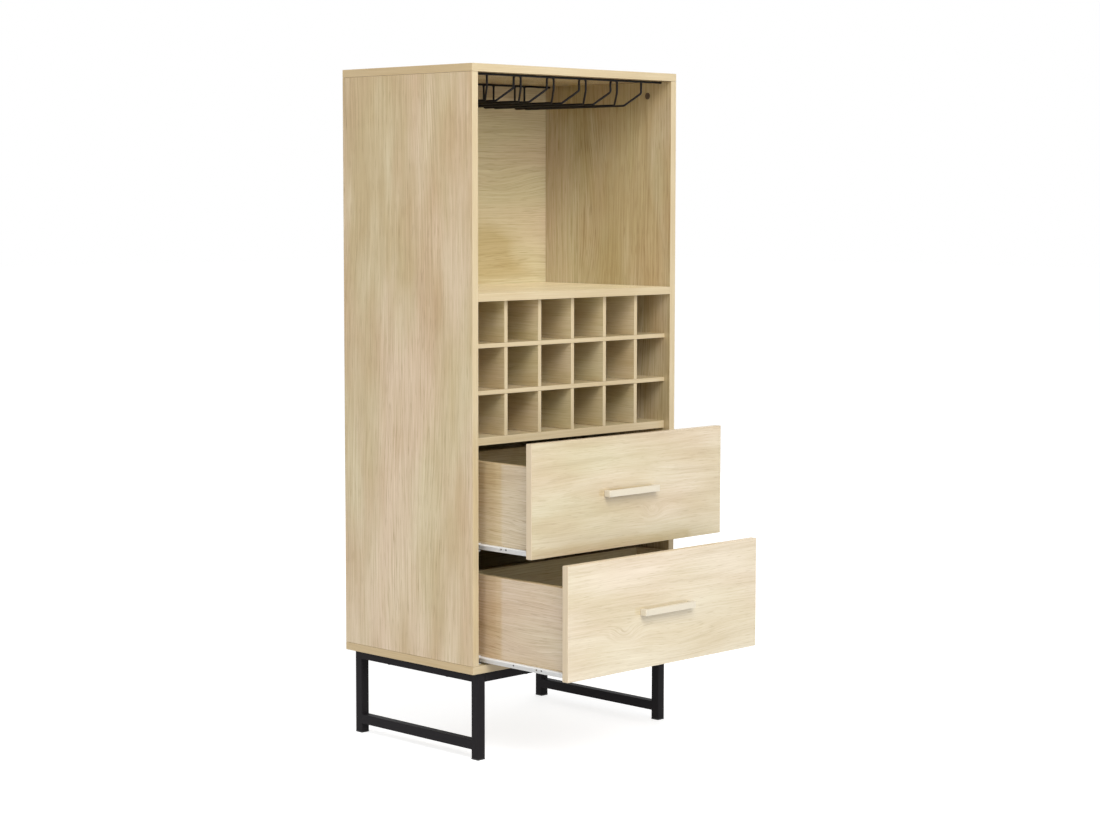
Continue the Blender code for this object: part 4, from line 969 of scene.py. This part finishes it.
def dress_cams():
    """Makes the cam locks that draw the side panels to the top and the bottom."""
    for side_name, side in SIDES.items():
        for end, z in (("low", BOTTOM_TOP + CAM_END), ("high", TOP_UNDER - CAM_END)):
            bm = bmesh.new()
            head(bm, (side * INNER, CARCASS_FRONT + CAM_FRONT, z), (-side, 0, 0), CAM_HEAD, sides=40)
            added_piece(bm, f"cam_lock_{side_name}_{end}", f"{side_name}_side_panel",
                        CAM_PLASTIC)


def base_screws(node):
    """Returns where the two screws under a rail or a side frame stand."""
    low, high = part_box(node)
    middle = (low + high) / 2
    if "rail" in node:
        return [((2 * share - 1) * RAIL_REACH, middle.y) for share in BASE_SCREW_SHARES]
    front, back = FRAME_ENDS
    return [(middle.x, front + share * (back - front)) for share in BASE_SCREW_SHARES]


def without_heads(bm, places, under):
    """Removes the plain screw heads that stand below the tubes' underside at these places."""
    return without(bm, lambda spot: under - BASE_SCREW_STAND < spot.z < under - FIT and any(
        abs(spot.x - x) < TUBE / 2 and abs(spot.y - y) < TUBE / 2 for x, y in places))


def dress_base():
    """Makes the welded frames, the rails, the screws under them and the glides."""
    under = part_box("front_rail")[1].z - TUBE
    for node, name in (("left_leg_frame", "left_welded_frame"), ("right_leg_frame", "right_welded_frame"),
                       ("front_rail", "front_cross_rail"), ("back_rail", "back_cross_rail")):
        places = base_screws(node)
        finish_piece(without_heads(cad_mesh(node), places, under), name, node, [POWDER_COAT])
        bm = bmesh.new()
        for x, y in places:
            head(bm, (x, y, under), (0, 0, -1), FRAME_HEAD)
        added_piece(bm, name + "_screws", node, SCREW_ZINC)
    for side_name in SIDES:
        for end in ("front", "back"):
            node, name = f"{end}_{side_name}_glide", f"{end}_{side_name}_leg_glide"
            glide = rounded_edges(cad_mesh(node), GLIDE_ROUND)
            finish_piece(glide, name, node, [GLIDE_PLASTIC])


def add_camera():
    """Places the camera where the photograph was taken from."""
    data = bpy.data.cameras.new("photo_camera")
    data.sensor_fit = "HORIZONTAL"
    data.sensor_width = SENSOR_WIDTH
    data.lens = CAMERA_LENS
    camera = bpy.data.objects.new("photo_camera", data)
    camera.matrix_world = (Matrix.Translation(CAMERA_PLACE) @ Matrix.Rotation(-CAMERA_YAW, 4, "Z")
                           @ Matrix.Rotation(pi / 2 - CAMERA_PITCH, 4, "X")
                           @ Matrix.Rotation(CAMERA_ROLL, 4, "Z"))
    bpy.context.scene.collection.objects.link(camera)
    bpy.context.scene.camera = camera


def add_softbox(name, place, aim, size, power, mirrored):
    """Adds a square soft light that faces a point; unless mirrored, glossy faces don't show it."""
    data = bpy.data.lights.new(name, "AREA")
    data.shape = "SQUARE"
    data.size = size
    data.energy = power
    lamp = bpy.data.objects.new(name, data)
    lamp.visible_camera = False
    lamp.visible_glossy = mirrored
    lamp.location = place
    lamp.rotation_euler = (Vector(aim) - Vector(place)).to_track_quat("-Z", "Y").to_euler()
    bpy.context.scene.collection.objects.link(lamp)


def seen_directly(tree):
    """Returns 1 for camera, glossy and transmission rays, and 0 for the light that falls on things."""
    path = tree.nodes.new("ShaderNodeLightPath")
    seen = math(tree, "MAXIMUM", path.outputs["Is Camera Ray"], path.outputs["Is Glossy Ray"])
    return math(tree, "MAXIMUM", seen, path.outputs["Is Transmission Ray"])


def add_world():
    """Makes the soft surrounding light, seen as plain white."""
    world = bpy.data.worlds.new("studio")
    bpy.context.scene.world = world
    world.use_nodes = True
    tree = world.node_tree
    background = tree.nodes["Background"]
    colour = blended(tree, seen_directly(tree), ROOM_LIGHT, ROOM_SEEN)
    tree.links.new(colour, background.inputs["Color"])


def add_floor():
    """Makes the pale floor, which shows white but keeps the object's soft shadow."""
    bm = bmesh.new()
    bm.faces.new([bm.verts.new((x * FLOOR_REACH, y * FLOOR_REACH, 0.0))
                  for x, y in ((-1, -1), (1, -1), (1, 1), (-1, 1))])
    mesh = bpy.data.meshes.new("floor")
    bm.to_mesh(mesh)
    bm.free()
    floor = bpy.data.objects.new("floor", mesh)
    bpy.context.scene.collection.objects.link(floor)
    material = bpy.data.materials.new("floor")
    material.use_nodes = True
    tree = material.node_tree
    tree.nodes.remove(tree.nodes["Principled BSDF"])
    plain = tree.nodes.new("ShaderNodeBsdfDiffuse")
    plain.inputs["Color"].default_value = (*[FLOOR_GREY] * 3, 1.0)
    faint = tree.nodes.new("ShaderNodeBsdfDiffuse")
    faint.inputs["Color"].default_value = (*[FLOOR_SEEN_GREY] * 3, 1.0)
    glow = tree.nodes.new("ShaderNodeEmission")
    glow.inputs["Color"].default_value = (*[FLOOR_GLOW] * 3, 1.0)
    shown = tree.nodes.new("ShaderNodeAddShader")
    tree.links.new(faint.outputs[0], shown.inputs[0])
    tree.links.new(glow.outputs[0], shown.inputs[1])
    mix = tree.nodes.new("ShaderNodeMixShader")
    tree.links.new(seen_directly(tree), mix.inputs[0])
    tree.links.new(plain.outputs[0], mix.inputs[1])
    tree.links.new(shown.outputs[0], mix.inputs[2])
    tree.links.new(mix.outputs[0], tree.nodes["Material Output"].inputs["Surface"])
    mesh.materials.append(material)


dress_carcass()
dress_drawers()
dress_runners()
dress_rack()
dress_cams()
dress_base()
add_camera()
add_world()
add_floor()
for light, settings in SOFTBOXES.items():
    add_softbox(light, *settings)
bpy.context.scene.view_settings.view_transform = "Standard"
